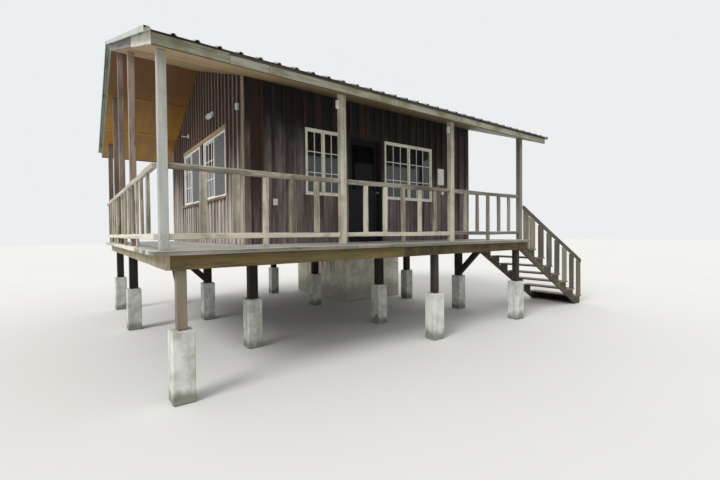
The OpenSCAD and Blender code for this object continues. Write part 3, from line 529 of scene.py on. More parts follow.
class Joinery:
    """Gathers boards, beams and dressed CAD solids into the mesh of one piece."""

    def __init__(self, seed):
        self.dice = random.Random(seed)
        self.skin = bmesh.new()
        self.grain = self.skin.loops.layers.float_vector.new("grain")
        self.tone = self.skin.faces.layers.float.new("tone")

    def lot(self):
        """A board's own tone and its place in the grain pattern."""
        shift = Vector([self.dice.uniform(-40, 40) for _ in range(3)])
        return self.dice.random(), shift

    def face(self, corners, lot):
        """A face from corners given as (vertex, place in the board)."""
        made = self.skin.faces.new([vertex for vertex, _ in corners])
        made[self.tone] = lot[0]
        for loop, (_, place) in zip(made.loops, corners):
            loop[self.grain] = place + lot[1]

    def close(self, rings, lot):
        """Faces from ring to ring and over both ends."""
        for near, far in pairwise(rings):
            for i in range(len(near)):
                self.face([near[i - 1], near[i], far[i], far[i - 1]], lot)
        self.face(rings[0][::-1], lot)
        self.face(rings[-1], lot)

    def beam(self, start, end, wide, size, edge=0.003, wave=0.0, cut=0.3, foot=0.0, head=0.0, lot=None):
        """A beam of a size (width, thickness) from start to end; foot and head slant its two ends."""
        width, thick = size
        lot = lot or self.lot()
        length = (end - start).length
        run = (end - start).normalized()
        side = (wide - wide.dot(run) * run).normalized()
        deep = run.cross(side)
        edge = min(edge, width / 4, thick / 4, length / 4)
        turns = [(self.dice.uniform(1.5, 5), self.dice.uniform(0, 6.3)) for _ in range(4)]
        inner = max(1, round(length / cut)) if wave else 1
        stops = [(edge + (length - 2 * edge) * i / inner, 0.0) for i in range(inner + 1)]
        rings = []
        for s, shrink in [(0.0, edge), *stops, (length, edge)]:
            dips = [wave * (0.5 + 0.5 * math.sin(a * s + b)) + shrink for a, b in turns]
            right = width / 2 - dips[0]
            left = -width / 2 + dips[1]
            top = thick / 2 - dips[2]
            low = -thick / 2 + dips[3]
            outline = [
                (right - edge, low), (right, low + edge), (right, top - edge), (right - edge, top),
                (left + edge, top), (left, top - edge), (left, low + edge), (left + edge, low),
            ]
            ring = []
            for u, v in outline:
                along = s + foot * u * (1 - s / length) + head * u * s / length
                vertex = self.skin.verts.new(start + run * along + side * u + deep * v)
                ring.append((vertex, Vector((along, u, v))))
            rings.append(ring)
        self.close(rings, lot)

    def board(self, lo, hi, axis=None, **details):
        """A board or beam that fills a box, its grain along an axis, by default the longest."""
        lo = Vector(lo)
        hi = Vector(hi)
        size = hi - lo
        if axis is None:
            axis = max(range(3), key=lambda i: size[i])
        wide = max((i for i in range(3) if i != axis), key=lambda i: size[i])
        thin = 3 - axis - wide
        start = (lo + hi) / 2
        end = start.copy()
        start[axis] = lo[axis]
        end[axis] = hi[axis]
        direction = Vector((0, 0, 0))
        direction[wide] = 1
        self.beam(start, end, direction, (size[wide], size[thin]), **details)

    def plate(self, outline, depth, run):
        """A flat outline given a depth, with its grain along run."""
        lot = self.lot()
        run = run.normalized()
        inward = depth.normalized()
        across = inward.cross(run)
        middle = sum(outline, Vector((0, 0, 0))) / len(outline)

        def corner(point):
            away = point - middle
            return self.skin.verts.new(point), Vector((away.dot(run), away.dot(across), away.dot(inward)))

        self.close([[corner(p) for p in outline], [corner(p + depth) for p in outline]], lot)

    def solid(self, node, edge=0.004, cut=0.25, wave=0.0, move=None, waves=2.2, whole=True):
        """A dressed copy of a CAD node: worn edges and slightly uneven faces, never outside the solid."""
        skin = welded(node, whole)
        if move:
            for vertex in skin.verts:
                move(vertex)
        run_layer = skin.faces.layers.float_vector.new("run")
        lot_layer = skin.faces.layers.int.new("lot")
        for face in skin.faces:
            face[run_layer] = longest_edge(face)
        lots = self.share_lots(skin, run_layer, lot_layer)
        if edge:
            bmesh.ops.bevel(
                skin, geom=skin.edges[:], offset=edge, offset_type="OFFSET", segments=1,
                profile=0.5, affect="EDGES", clamp_overlap=True,
            )
        if wave:
            cut_up(skin, cut)
            skin.normal_update()
            for vertex in skin.verts:
                dip = 0.5 + 0.5 * noise.noise(vertex.co * waves)
                vertex.co -= vertex.normal * wave * dip
        copies = {vertex: self.skin.verts.new(vertex.co) for vertex in skin.verts if vertex.link_faces}
        for face in skin.faces:
            run = Vector(face[run_layer])
            if run.length < 0.5:
                run = longest_edge(face)
            side = run.cross(UP if abs(run.z) < 0.8 else RIGHT).normalized()
            deep = run.cross(side)
            ring = [(v, Vector((v.co.dot(run), v.co.dot(side), v.co.dot(deep)))) for v in face.verts]
            self.face([(copies[v], place) for v, place in ring], lots[face[lot_layer]])
        skin.free()

    def share_lots(self, skin, run_layer, lot_layer):
        """Gives each run of touching faces with one grain direction a lot of its own, in a fixed order."""
        lots = []
        left = dict.fromkeys(skin.faces)
        while left:
            stack = [left.popitem()[0]]
            run = Vector(stack[0][run_layer])
            while stack:
                face = stack.pop()
                face[lot_layer] = len(lots)
                for near in (near for edge in face.edges for near in edge.link_faces):
                    if near in left and abs(Vector(near[run_layer]).dot(run)) > 0.95:
                        del left[near]
                        stack.append(near)
            lots.append(self.lot())
        return lots

    def piece(self, name, finish, slot=None, *replaced):
        """Turns what was gathered into a piece that rides on the house."""
        bmesh.ops.recalc_face_normals(self.skin, faces=self.skin.faces)
        made = shown(name, self.skin, finish, 28)
        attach(made, "house")
        if replaced:
            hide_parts(*replaced)


def cut_up(skin, cut):
    """Cuts long faces across, so that they can be uneven."""
    lo, hi = extent([v.co for v in skin.verts])
    for normal in (RIGHT, BACK, UP):
        count = int((hi - lo).dot(normal) / cut)
        for k in range(1, count + 1):
            place = lo + (hi - lo) * k / (count + 1)
            whole = skin.verts[:] + skin.edges[:] + skin.faces[:]
            bmesh.ops.bisect_plane(skin, geom=whole, dist=1e-5, plane_co=place, plane_no=normal)


def dress(node, finish, slot, seed, **details):
    """One CAD node as a dressed piece of the same shape."""
    work = Joinery(seed)
    work.solid(node, **details)
    work.piece(node + "_dressed", finish, slot, node)


def coat(finish, *nodes):
    """A better material on CAD nodes that keep their shape."""
    for node in nodes:
        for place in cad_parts[node].material_slots:
            place.material = finish


# Ground: piers, core, stilts and braces

def make_ground():
    for node, seed in (("piers_front", 1), ("piers_inner", 2)):
        dress(node, CONCRETE, "concrete", seed, edge=0.012, cut=0.11, wave=0.007, waves=5)
    dress("concrete_core", CORE, "concrete", 3, edge=0.018, cut=0.15, wave=0.01, waves=3)
    dress("stilts_front", STILT, "frame_timber", 4, edge=0.007, cut=0.12, wave=0.006, waves=5)
    dress("stilts_inner", DARK, "stilt_timber", 5, edge=0.007, cut=0.12, wave=0.006, waves=5)
    make_braces()


def make_braces():
    """Knee braces from the stilts up to the beams; the one at the corner is a short block."""
    boxes = solids("knee_braces")
    (corner, wall, right) = ((lo + hi) / 2 for lo, hi in boxes)
    under = boxes[0][1].z
    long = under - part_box("stilts_inner")[0].z - 0.03
    work = Joinery(6)
    knee_brace(work, Vector((corner.x, boxes[0][0].y, under)), BACK, 0.16, 0.09)
    knee_brace(work, Vector((boxes[1][1].x, wall.y, under)), -RIGHT, long, 0.115)
    knee_brace(work, Vector((right.x, boxes[2][1].y, under)), -BACK, long, 0.115)
    work.piece("brace_timbers", DARK, "stilt_timber", "knee_braces")


def knee_brace(work, corner, away, reach, width):
    """A brace at 45 degrees from a stilt's face out to the underside of the frame."""
    inner = reach - width * math.sqrt(2)
    outline = [corner - UP * reach, corner - UP * inner, corner + away * inner, corner + away * reach]
    side = away.cross(UP).normalized() * 0.1
    work.plate([p - side / 2 for p in outline], side, away + UP)


# Platform: beams, rim and deck boards

def make_rim():
    """The rim round the platform, of boards that butt at the corners."""
    lo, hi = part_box("rim_joists")
    thick = 0.045
    work = Joinery(11)
    for y in (lo.y, hi.y - thick):
        for x0, x1 in pairwise((lo.x, lo.x + 3.55, hi.x)):
            work.board((x0, y, lo.z), (x1 - 0.003, y + thick, hi.z), wave=0.004)
    for x in (lo.x, hi.x - thick):
        for y0, y1 in pairwise((lo.y + thick, lo.y + 3.4, hi.y - thick)):
            work.board((x, y0, lo.z), (x + thick, y1 - 0.003, hi.z), wave=0.004)
    work.piece("rim_boards", RIM, "frame_timber", "rim_joists")


def lay_boards(name, node, finish, seed, width, joints=(), wave=0.002, inset=0.0):
    """Boards along X in a node's place, side by side from an inset at its left, with end joints."""
    lo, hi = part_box(node)
    lo.x += inset
    gap = 0.006
    work = Joinery(seed)
    count = max(1, round((hi.y - lo.y) / width))
    pitch = (hi.y - lo.y) / count
    for i in range(count):
        y0 = lo.y + i * pitch
        stops = [lo.x, joints[i % len(joints)], hi.x] if joints else [lo.x, hi.x]
        for x0, x1 in pairwise(stops):
            drop = work.dice.uniform(0, 0.003)
            near = (x0, y0 + gap / 2, lo.z)
            far = (x1 - (0.004 if x1 != hi.x else 0), y0 + pitch - gap / 2, hi.z - drop)
            work.board(near, far, axis=0, edge=0.004, wave=wave, cut=0.5)
    work.piece(name, finish, "deck_timber", node)


def make_deck():
    strip = 0.09
    lay_boards("deck_boards_front", "deck_front", DECK, 21, 0.142, (-2.3, 0.1, -1.1, 0.7, -3.0))
    lay_boards("deck_boards_left", "deck_left", DECK, 22, 0.142, inset=strip)
    lo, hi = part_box("deck_left")
    work = Joinery(24)
    for y0, y1 in ((lo.y, lo.y + 2.9), (lo.y + 2.904, hi.y)):
        work.board((lo.x, y0, lo.z), (lo.x + strip - 0.004, y1, hi.z), axis=1, wave=0.002)
    # Painted sunlight: the left edge boards take the paler copy of the rail timber.
    work.piece("deck_edge_left", PAINTED_SUNLIT_RAIL, "deck_timber")
    lay_boards("floor_boards", "house_floor", ROOM, 23, 0.16, (-1.2, 0.4), 0.0)


def make_platform():
    dress("floor_frame", DARK, "stilt_timber", 12, edge=0.0, whole=False)
    make_rim()
    make_deck()


# Walls: lining, boards, battens and corners

BOARD_PITCH = 0.205
BOARD_THICK = 0.02
BATTEN_WIDTH = 0.05
BATTEN_THICK = 0.022


class Wall:
    """One outer wall: its axis, the side it looks to, its outer face, its ends and its first joint."""

    def __init__(self, name, axis, out, face, start, end, first, doorways=()):
        self.name = name
        self.axis = axis
        self.out = out
        self.face = face
        self.start = start
        self.end = end
        self.first = first
        self.windows = [(lo[axis], hi[axis], lo.z, hi.z) for lo, hi in solids("window_frames_" + name)]
        self.openings = [*self.windows, *doorways]

    def box(self, a0, a1, o0, o1, z0, z1):
        """Corners of a box from places along the wall, out of its face, and in height."""
        outs = sorted((self.face + self.out * o0, self.face + self.out * o1))
        corners = ((a0, outs[0], z0), (a1, outs[1], z1))
        return [Vector(c if self.axis == 0 else (c[1], c[0], c[2])) for c in corners]

    def board(self, work, axis, *places, edge=0.004, wave=0.0):
        """A board that fills such a box, its grain along an axis."""
        lo, hi = self.box(*places)
        work.board(lo, hi, axis=axis, edge=edge, wave=wave)

    def top(self, a):
        """Level of the ceiling over a place along the wall's face."""
        return roof_level(a if self.axis == 1 else self.face)

    def free_heights(self, a0, a1, z0, z1):
        """What is left of a height range between two places once the openings are cut out."""
        spans = [(z0, z1)]
        for b0, b1, low, high in self.openings:
            if b0 < a1 - 1e-4 and b1 > a0 + 1e-4:
                parts = [part for s0, s1 in spans for part in ((s0, min(s1, low)), (max(s0, high), s1))]
                spans = [part for part in parts if part[1] - part[0] > 0.01]
        return spans


def upright(work, wall, a0, a1, o0, o1, lot=None, edge=0.002, wave=0.0):
    """One upright board on a wall, cut round the openings, its head cut to the ceiling."""
    lot = lot or work.lot()
    top = wall.top((a0 + a1) / 2) - 0.004
    wide = (RIGHT, BACK)[wall.axis]
    size = (a1 - a0, abs(o1 - o0))
    for z0, z1 in wall.free_heights(a0, a1, DECK_TOP, top):
        start, end = wall.box(a0, a1, o0, o1, z0, z1)
        start.xy = end.xy = (start.xy + end.xy) / 2
        head = (wall.top(a1) - wall.top(a0)) / (a1 - a0) if z1 == top else 0.0
        work.beam(start, end, wide, size, edge=edge, wave=wave, cut=0.35, head=head, lot=lot)


def clad(wall, boards_finish, battens_finish, seed, *lined):
    """Boards with battens over their joints, on what is left of the CAD wall as the inner lining."""
    side = 1 - wall.axis
    lining = Joinery(seed)

    def sink(vertex):
        if abs(vertex.co[side] - wall.face) < 1e-4:
            vertex.co[side] -= wall.out * (BOARD_THICK + 0.001)

    for node in lined:
        lining.solid(node, edge=0.0, move=sink, whole=False)
    lining.piece(wall.name + "_wall_lining", ROOM, "siding", *lined)
    boards = Joinery(seed + 1)
    battens = Joinery(seed + 2)
    least = 0.02
    before = int((wall.first - wall.start - least) / BOARD_PITCH)
    after = int((wall.end - wall.first - least) / BOARD_PITCH)
    stops = [wall.first + i * BOARD_PITCH for i in range(-before, after + 1)]
    for a0, a1 in pairwise([wall.start, *stops, wall.end]):
        lot = boards.lot()
        inset = boards.dice.uniform(0.0, 0.004)
        jambs = {b for opening in wall.openings for b in opening[:2] if a0 + 0.004 < b < a1 - 0.004}
        for c0, c1 in pairwise(sorted({a0 + 0.002, a1 - 0.002} | jambs)):
            upright(boards, wall, c0, c1, -BOARD_THICK, -inset, lot)
    for a in stops:
        a += battens.dice.uniform(-0.004, 0.004)
        half = BATTEN_WIDTH / 2 + battens.dice.uniform(-0.003, 0.003)
        thick = BATTEN_THICK - battens.dice.uniform(0.0, 0.003)
        upright(battens, wall, a - half, a + half, 0.0, thick, edge=0.003, wave=0.002)
    boards.piece(wall.name + "_wall_boards", boards_finish, "siding")
    battens.piece(wall.name + "_wall_battens", battens_finish, "siding")


def make_walls():
    left_lo, left_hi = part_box("left_wall")
    right_lo, right_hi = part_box("right_wall")
    door_lo, door_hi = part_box("door_frame")
    doorway = (door_lo.x, door_hi.x, DECK_TOP, door_hi.z)
    front = Wall("front", 0, -1, left_lo.y, left_hi.x, right_lo.x, door_hi.x + 0.03, [doorway])
    left = Wall("left", 1, -1, left_lo.x, left_lo.y, left_hi.y, RIDGE_Y)
    right = Wall("right", 1, 1, right_hi.x, right_lo.y, right_hi.y, RIDGE_Y)
    back = Wall("back", 0, 1, left_hi.y, left_hi.x, right_lo.x, (left_hi.x + right_lo.x) / 2)
    front_nodes = ("front_wall_left", "front_wall_right", "front_wall_over_door")
    clad(front, FRONT_BOARDS, FRONT_BATTENS, 31, *front_nodes)
    for wall, seed in ((left, 35), (right, 39), (back, 43)):
        clad(wall, SIDE_BOARDS, SIDE_BATTENS, seed, wall.name + "_wall")
    make_corners(front, back, left, right)
    return {wall.name: wall for wall in (front, left, right, back)}


def make_corners(front, back, left, right):
    """Corner boards: pale wings on the side walls and dark wings on the front and back."""
    pale = Joinery(47)
    dark = Joinery(48)
    middle = (HOUSE_LO + HOUSE_HI) / 2
    for lo, hi in solids("corner_boards"):
        side = left if lo.x < middle.x else right
        end = front if lo.y < middle.y else back
        thick = min(hi.x - HOUSE_HI.x if side is right else HOUSE_LO.x - lo.x, 0.03)
        upright(pale, side, lo.y, hi.y, 0.0, thick, edge=0.003, wave=0.003)
        near = lo.x + thick if side is left else lo.x
        far = hi.x if side is left else hi.x - thick
        upright(dark, end, near + 0.001, far - 0.001, 0.0, thick, edge=0.003, wave=0.003)
    pale.piece("corner_boards_side", CORNER, "trim_timber", "corner_boards")
    # The dark wings take the front battens' colour, with its painted shade.
    dark.piece("corner_boards_end", FRONT_BATTENS, "siding")


# Windows and door

FRAME_BAR = 0.04
SASH = 0.02
SASH_FOOT = 0.026
SASH_DEPTH = (-0.04, -0.01)
GLAZING_BAR = 0.017
PANE_ROWS = 3


def surround(work, wall, opening, depth, width, foot, wave=0.0):
    """Bars round an opening, between two distances out of the wall's face: uprights, sill and head."""
    a0, a1, z0, z1 = opening
    i0 = a0 + width
    i1 = a1 - width
    for c0, c1, axis, h0, h1 in (
        (a0, i0, 2, z0, z1), (i1, a1, 2, z0, z1),
        (i0, i1, wall.axis, z0, z0 + foot), (i0, i1, wall.axis, z1 - width, z1),
    ):
        wall.board(work, axis, c0, c1, *depth, h0, h1, wave=wave)


def panes(opening):
    """The two panes of a window inside its frame, as (start, end, low, high)."""
    a0, a1, z0, z1 = opening
    width = (a1 - a0 - 3 * FRAME_BAR) / 2
    starts = (a0 + FRAME_BAR, a0 + 2 * FRAME_BAR + width)
    return [(b, b + width, z0 + FRAME_BAR, z1 - FRAME_BAR) for b in starts]


def window_bars(work, wall, opening, columns):
    """Sash frames and glazing bars over both panes of one window."""
    half = GLAZING_BAR / 2
    near, far = SASH_DEPTH
    for pane in panes(opening):
        b0, b1, low, high = pane
        surround(work, wall, pane, SASH_DEPTH, SASH, SASH_FOOT)
        i0 = b0 + SASH
        i1 = b1 - SASH
        for i in range(1, columns):
            c = i0 + (i1 - i0) * i / columns
            wall.board(work, 2, c - half, c + half, near + 0.004, far - 0.004, low + SASH, high - SASH)
        for j in range(1, PANE_ROWS):
            h = low + (high - low) * j / PANE_ROWS
            wall.board(work, wall.axis, i0, i1, near + 0.005, far - 0.005, h - half, h + half)


def make_windows(walls):
    for name, wall in walls.items():
        bars = Joinery(51 + len(name))
        frames = Joinery(60 + len(name))
        node = "window_frames_" + name
        depth = [(corner[1 - wall.axis] - wall.face) * wall.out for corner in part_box(node)]
        for opening, columns in zip(wall.windows, (2, 3) if name == "front" else (3, 3)):
            window_bars(bars, wall, opening, columns)
            surround(frames, wall, opening, depth, FRAME_BAR, FRAME_BAR, wave=0.001)
            start = (opening[0] + opening[1] - FRAME_BAR) / 2
            heights = panes(opening)[0][2:]
            wall.board(frames, 2, start, start + FRAME_BAR, *depth, *heights, wave=0.001)
        bars.piece("window_bars_" + name, WHITE, "white_frame")
        paint = CREAM if name == "front" else WHITE
        frames.piece("window_frame_boards_" + name, paint, "white_frame", node)
    screens = Joinery(66)
    for wall in (walls["left"], walls["right"]):
        for opening in wall.windows:
            b0, b1, low, high = panes(opening)[0]
            wall.board(screens, 2, b0, b1, -0.004, -0.001, low, high, edge=0.0005)
    screens.piece("insect_screens", SCREEN)
    coat(GLASS, "window_glass")


def make_trims(walls):
    """Head and sill boards; on the left wall one head board runs over both windows."""
    boxes = solids("window_trims")
    level = max(high for _, _, _, high in walls["left"].openings)
    heads = [b for b in boxes if b[0].z > level - 0.01 and b[0].x < HOUSE_LO.x]
    work = Joinery(71)
    lo, hi = extent([corner for box in heads for corner in box])
    lo.x -= 0.004
    work.board(lo, hi, axis=1, wave=0.003)
    for low, high in boxes:
        if (low, high) not in heads:
            work.board(low, high, wave=0.002)
    work.piece("window_trim_boards", TRIM, "trim_timber", "window_trims")


def turned(name, outline, place, finish, body):
    """A part turned round its own Z, from (radius, height) pairs, then put in its place on a body."""
    steps = 28
    skin = bmesh.new()
    rings = []
    for radius, height in outline:
        turn = [2 * math.pi * i / steps for i in range(steps if radius else 1)]
        rings.append([skin.verts.new((radius * math.cos(a), radius * math.sin(a), height)) for a in turn])
    for near, far in pairwise(rings):
        for i in range(steps):
            j = (i + 1) % steps
            corners = [near[i % len(near)], near[j % len(near)], far[j % len(far)], far[i % len(far)]]
            unique = list(dict.fromkeys(corners))
            if len(unique) > 2:
                skin.faces.new(unique)
    bmesh.ops.recalc_face_normals(skin, faces=skin.faces)
    made = shown(name, skin, finish, 40)
    made.data.transform(place)
    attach(made, body)


def make_door():
    coat(DOOR, "front_door")
    coat(DOOR_GLASS, "door_glass")
    coat(LINING, "door_frame")
    lo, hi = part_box("front_door")
    outline = [
        (0.0, 0.0), (0.026, 0.0), (0.026, 0.004), (0.011, 0.007), (0.010, 0.026), (0.024, 0.034),
        (0.027, 0.046), (0.02, 0.056), (0.0, 0.059),
    ]
    place = Matrix.Translation((hi.x - 0.055, lo.y + 0.0005, lo.z + 1.0))
    turned("door_knob", outline, place @ Matrix.Rotation(math.radians(90), 4, "X"), GREY_METAL, "door")


# Veranda

RAIL_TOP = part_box("rail_front")[1].z
RAIL_HEIGHT = 0.075
RAIL_THICK = 0.055
LOW_RAIL_TOP = DECK_TOP + 0.19
BALUSTER_WIDTH = 0.09


def make_veranda():
    for node, finish, seed in (("posts_front", POST, 81), ("posts_left", LEFT_POST, 82)):
        dress(node, finish, "rail_timber", seed, edge=0.006, cut=0.22, wave=0.005, waves=3)
    lo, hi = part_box("rail_front")
    work = Joinery(83)
    for near, far in pairwise(solids("posts_front")):
        rail_panel(work, work, 0, (lo.y + hi.y) / 2, near[1].x, far[0].x, 6, (3,))
    work.piece("rail_bars_front", RAIL, "rail_timber", "rail_front")
    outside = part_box("posts_left")[0].x - RAIL_THICK / 2
    lo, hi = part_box("rail_left")
    rails = Joinery(84)
    bars = Joinery(85)
    rail_panel(rails, bars, 1, outside, lo.y, hi.y, 14, (3, 6, 9, 12))
    # Painted sunlight: the left top and low rails take the paler copy of the rail timber.
    rails.piece("rails_left", PAINTED_SUNLIT_RAIL, "rail_timber", "rail_left")
    bars.piece("rail_bars_left", RAIL, "rail_timber")


def rail_panel(rails, bars, axis, middle, start, end, spaces, legs):
    """Top rail, low rail and hewn balusters along an axis; the balusters named in legs stand on the deck."""

    def part(work, a0, a1, z0, z1, grain, thick):
        lo = Vector((middle - thick / 2, middle - thick / 2, z0))
        hi = Vector((middle + thick / 2, middle + thick / 2, z1))
        lo[axis] = a0
        hi[axis] = a1
        work.board(lo, hi, axis=grain, edge=0.006, wave=0.007, cut=0.2)

    for top in (RAIL_TOP, LOW_RAIL_TOP):
        part(rails, start, end, top - RAIL_HEIGHT, top, axis, RAIL_THICK)
    for i in range(1, spaces):
        a = start + (end - start) * i / spaces + bars.dice.uniform(-0.006, 0.006)
        half = BALUSTER_WIDTH / 2 + bars.dice.uniform(-0.004, 0.004)
        foot = DECK_TOP if i in legs else LOW_RAIL_TOP - 0.004
        part(bars, a - half, a + half, foot, RAIL_TOP - RAIL_HEIGHT + 0.004, 2, RAIL_THICK - 0.01)


# Roof

def slope_plate(work, x0, x1, y0, y1, h0, h1):
    """A plate in the roof's slope between two places of X and of Y and two heights over the ceiling."""
    corners = ((y0, h0), (y1, h0), (y1, h1), (y0, h1))
    work.plate([Vector((x0, y, roof_level(y, h))) for y, h in corners], RIGHT * (x1 - x0), RIGHT)


def slope_beam(work, x0, x1, y0, y1, depth):
    """A board in the roof's slope, so deep above the ceiling's underside, its ends cut upright."""
    start, end = (Vector(((x0 + x1) / 2, y, roof_level(y, depth / 2))) for y in (y0, y1))
    rise = (end.z - start.z) / (y1 - y0)
    across = Vector((0, -rise, 1)).normalized()
    work.beam(start, end, across, (depth, x1 - x0), wave=0.003, foot=rise, head=rise)


def make_ceilings():
    thick = 0.015
    gap = 0.004
    lo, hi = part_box("ceiling_front")
    work = Joinery(91)
    count = round((RIDGE_Y - lo.y) / 0.15)
    pitch = (RIDGE_Y - lo.y) / count
    for i in range(count):
        y0 = lo.y + i * pitch
        joint = (-1.9, 0.5, -3.1)[i % 3]
        for x0, x1 in ((lo.x, joint - 0.002), (joint, hi.x)):
            slope_plate(work, x0, x1, y0 + 0.0005, y0 + pitch - gap, 0.0, thick)
    work.piece("ceiling_boards_front", FRONT_CEILING, "ceiling_pale", "ceiling_front")
    lo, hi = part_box("ceiling_rear")
    work = Joinery(92)
    rows = [RIDGE_Y + 0.0005, RIDGE_Y + 1.07, RIDGE_Y + 2.14, hi.y]
    for y0, y1 in pairwise(rows):
        for x0, x1 in pairwise((lo.x, lo.x + 1.3, lo.x + 3.74, lo.x + 6.18, hi.x)):
            slope_plate(work, x0, x1 - gap, y0, y1 - gap, 0.0, thick)
    for y in rows[1:-1]:
        slope_plate(work, lo.x, hi.x, y - 0.03, y + 0.03, -0.012, 0.001)
    work.piece("ceiling_sheets_rear", REAR_CEILING, "ceiling_golden", "ceiling_rear")
    coat(FRAME, "rafters", "ridge_board")


def make_fascias():
    """Upper strips from the CAD boards, with pale boards in front of them."""
    dress("fascias", EAVE_STRIP, "fascia_timber", 95, edge=0.003, cut=0.4, wave=0.002)
    front, rear = sorted(solids("fascias"), key=lambda pair: pair[0].y)
    work = Joinery(96)
    full = front[1].z - front[0].z - 0.03
    low = 0.09
    stops = (front[0].x, front[0].x + 0.77, front[0].x + 1.23, front[1].x)
    for (x0, x1), height in zip(pairwise(stops), (full, low, low)):
        lo = (x0, front[0].y - 0.018, front[0].z - 0.002)
        work.board(lo, (x1 - 0.003, front[0].y, front[0].z + height), axis=0, wave=0.003)
    lo = (rear[0].x, rear[1].y, rear[0].z)
    work.board(lo, (rear[1].x, rear[1].y + 0.018, rear[0].z + low), axis=0, wave=0.003)
    work.piece("fascia_boards", FASCIA, "fascia_timber")
    make_bargeboards()


def make_bargeboards():
    """Two painted boards up each front slope, the upper one older, and one up each rear slope."""
    boards = solids("bargeboards_front")
    deep = (boards[0][1].z - RIDGE_Z) / math.hypot(1, FRONT_RISE)
    new = Joinery(97)
    old = Joinery(98)
    for lo, hi in boards:
        joint = lo.y + 1.52
        slope_beam(new, lo.x, hi.x, lo.y, joint - 0.002, deep)
        slope_beam(old, lo.x, hi.x, joint, RIDGE_Y - 0.0005, deep)
    new.piece("bargeboards_lower", BARGE, "barge_paint", "bargeboards_front")
    old.piece("bargeboards_upper", OLD_BARGE, "barge_paint")
    dress("bargeboards_rear", REAR_BARGE, "fascia_timber", 99, edge=0.003, cut=0.4, wave=0.002)


def make_roof_fixings():
    """Hexagon screws with washers along the ribs of both sheets."""
    skin = bmesh.new()
    for node, rise in (("roof_sheet_front", FRONT_RISE), ("roof_sheet_rear", -REAR_RISE)):
        points = points_of(node)
        crest = max(points, key=lambda p: p.z)
        lo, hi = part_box(node)
        eave, ridge = (lo.y, hi.y) if rise > 0 else (hi.y, lo.y)
        ends = [p for p in points if min(abs(p.y - eave), abs(p.y - ridge)) < 0.02]
        crests = rib_crests([p for p in ends if abs(p.z - crest.z - (p.y - crest.y) * rise) < 0.0012])
        for share in (0.03, 0.2, 0.37, 0.54, 0.71, 0.88):
            y = eave + (ridge - eave) * share
            for x in crests:
                spot = Matrix.Translation((x, y, crest.z + (y - crest.y) * rise))
                add_screw(skin, spot @ Matrix.Rotation(math.atan(rise), 4, "X"))
    made = shown("roof_screws", skin, GREY_METAL)
    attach(made, "house")


def rib_crests(points):
    """Places of X at the middle of each rib's crest, from the corners of the crests."""
    xs = sorted({round(p.x, 4) for p in points})
    return [(a + b) / 2 for a, b in pairwise(xs) if 0.015 < b - a < 0.03]


def add_screw(skin, turn):
    """A washer with a hexagon head on it."""
    for radius, height, sides in ((0.009, 0.0018, 12), (0.005, 0.006, 6)):
        bmesh.ops.create_cone(
            skin, cap_ends=True, segments=sides, radius1=radius, radius2=radius, depth=height,
            matrix=turn @ Matrix.Translation((0, 0, height / 2)),
        )


def make_roof():
    make_ceilings()
    make_fascias()
    coat(ROOF, "roof_sheet_front", "roof_sheet_rear", "ridge_cap")
    coat(EDGE, "roof_edge_trim")
    make_roof_fixings()


# Stair

def make_stair():
    dress("stair_stringers", STAIR, "frame_timber", 101, wave=0.003)
    dress("stair_treads", STAIR, "rail_timber", 102, edge=0.006, wave=0.004, waves=4)
    dress("stair_foot", DARK, "stilt_timber", 103, wave=0.003)
    make_stair_rail()


def make_stair_rail():
    """A sloping handrail nailed to a broad board on each tread, one on the deck and one from the rim."""
    lo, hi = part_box("stair_rail")
    end_level = max(p.z for p in points_of("stair_rail") if hi.x - p.x < 0.001)
    slope = (end_level - hi.z) / (hi.x - lo.x)
    middle = (lo.y + hi.y) / 2
    deep = 0.095
    wide = 0.22
    thick = 0.026
    work = Joinery(104)
    start = Vector((lo.x, middle, hi.z - deep / 2))
    end = Vector((hi.x, middle, end_level - deep / 2))
    across = Vector((-slope, 0, 1)).normalized()
    size = (deep * across.z, hi.y - lo.y)
    work.beam(start, end, across, size, edge=0.006, wave=0.004, foot=slope, head=slope)
    deck_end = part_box("deck_front")[1].x
    rim_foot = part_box("rim_joists")[0].z
    boards = [(lo.x + 0.01, deck_end - 0.004, DECK_TOP), (deck_end + 0.001, deck_end + 0.085, rim_foot)]
    for near, far in solids("stair_treads"):
        centre = (near.x + far.x) / 2
        boards.append((centre - wide / 2, centre + wide / 2, far.z))
    for left, right, foot in boards:
        head = hi.z + (right - lo.x) * slope - 0.02
        near = (left, middle - thick / 2, foot)
        work.board(near, (right, middle + thick / 2, head), axis=2, wave=0.003, cut=0.25)
    work.piece("stair_rail_boards", STAIR_RAIL, "rail_timber", "stair_rail")


# Things fixed to the walls

def box_part(work, wall, along, level, width, height, depth, edge=0.006, start=0.0):
    """A small cover or plate on a wall, its middle at a place along the wall and above the deck."""
    low = DECK_TOP + level - height / 2
    half = width / 2
    wall.board(work, 2, along - half, along + half, start, start + depth, low, low + height, edge=edge)


def lamp_head(name, place, aim):
    """A small spot lamp: a cup with a rim and a shallow lens."""
    outline = [
        (0.0, 0.0), (0.0225, 0.0), (0.03, 0.025), (0.0475, 0.08),
        (0.05, 0.1), (0.045, 0.1), (0.043, 0.093), (0.0, 0.088),
    ]
    turn = aim.to_track_quat("Z", "Y").to_matrix().to_4x4()
    turned(name, outline, Matrix.Translation(place) @ turn, LAMP, "house")


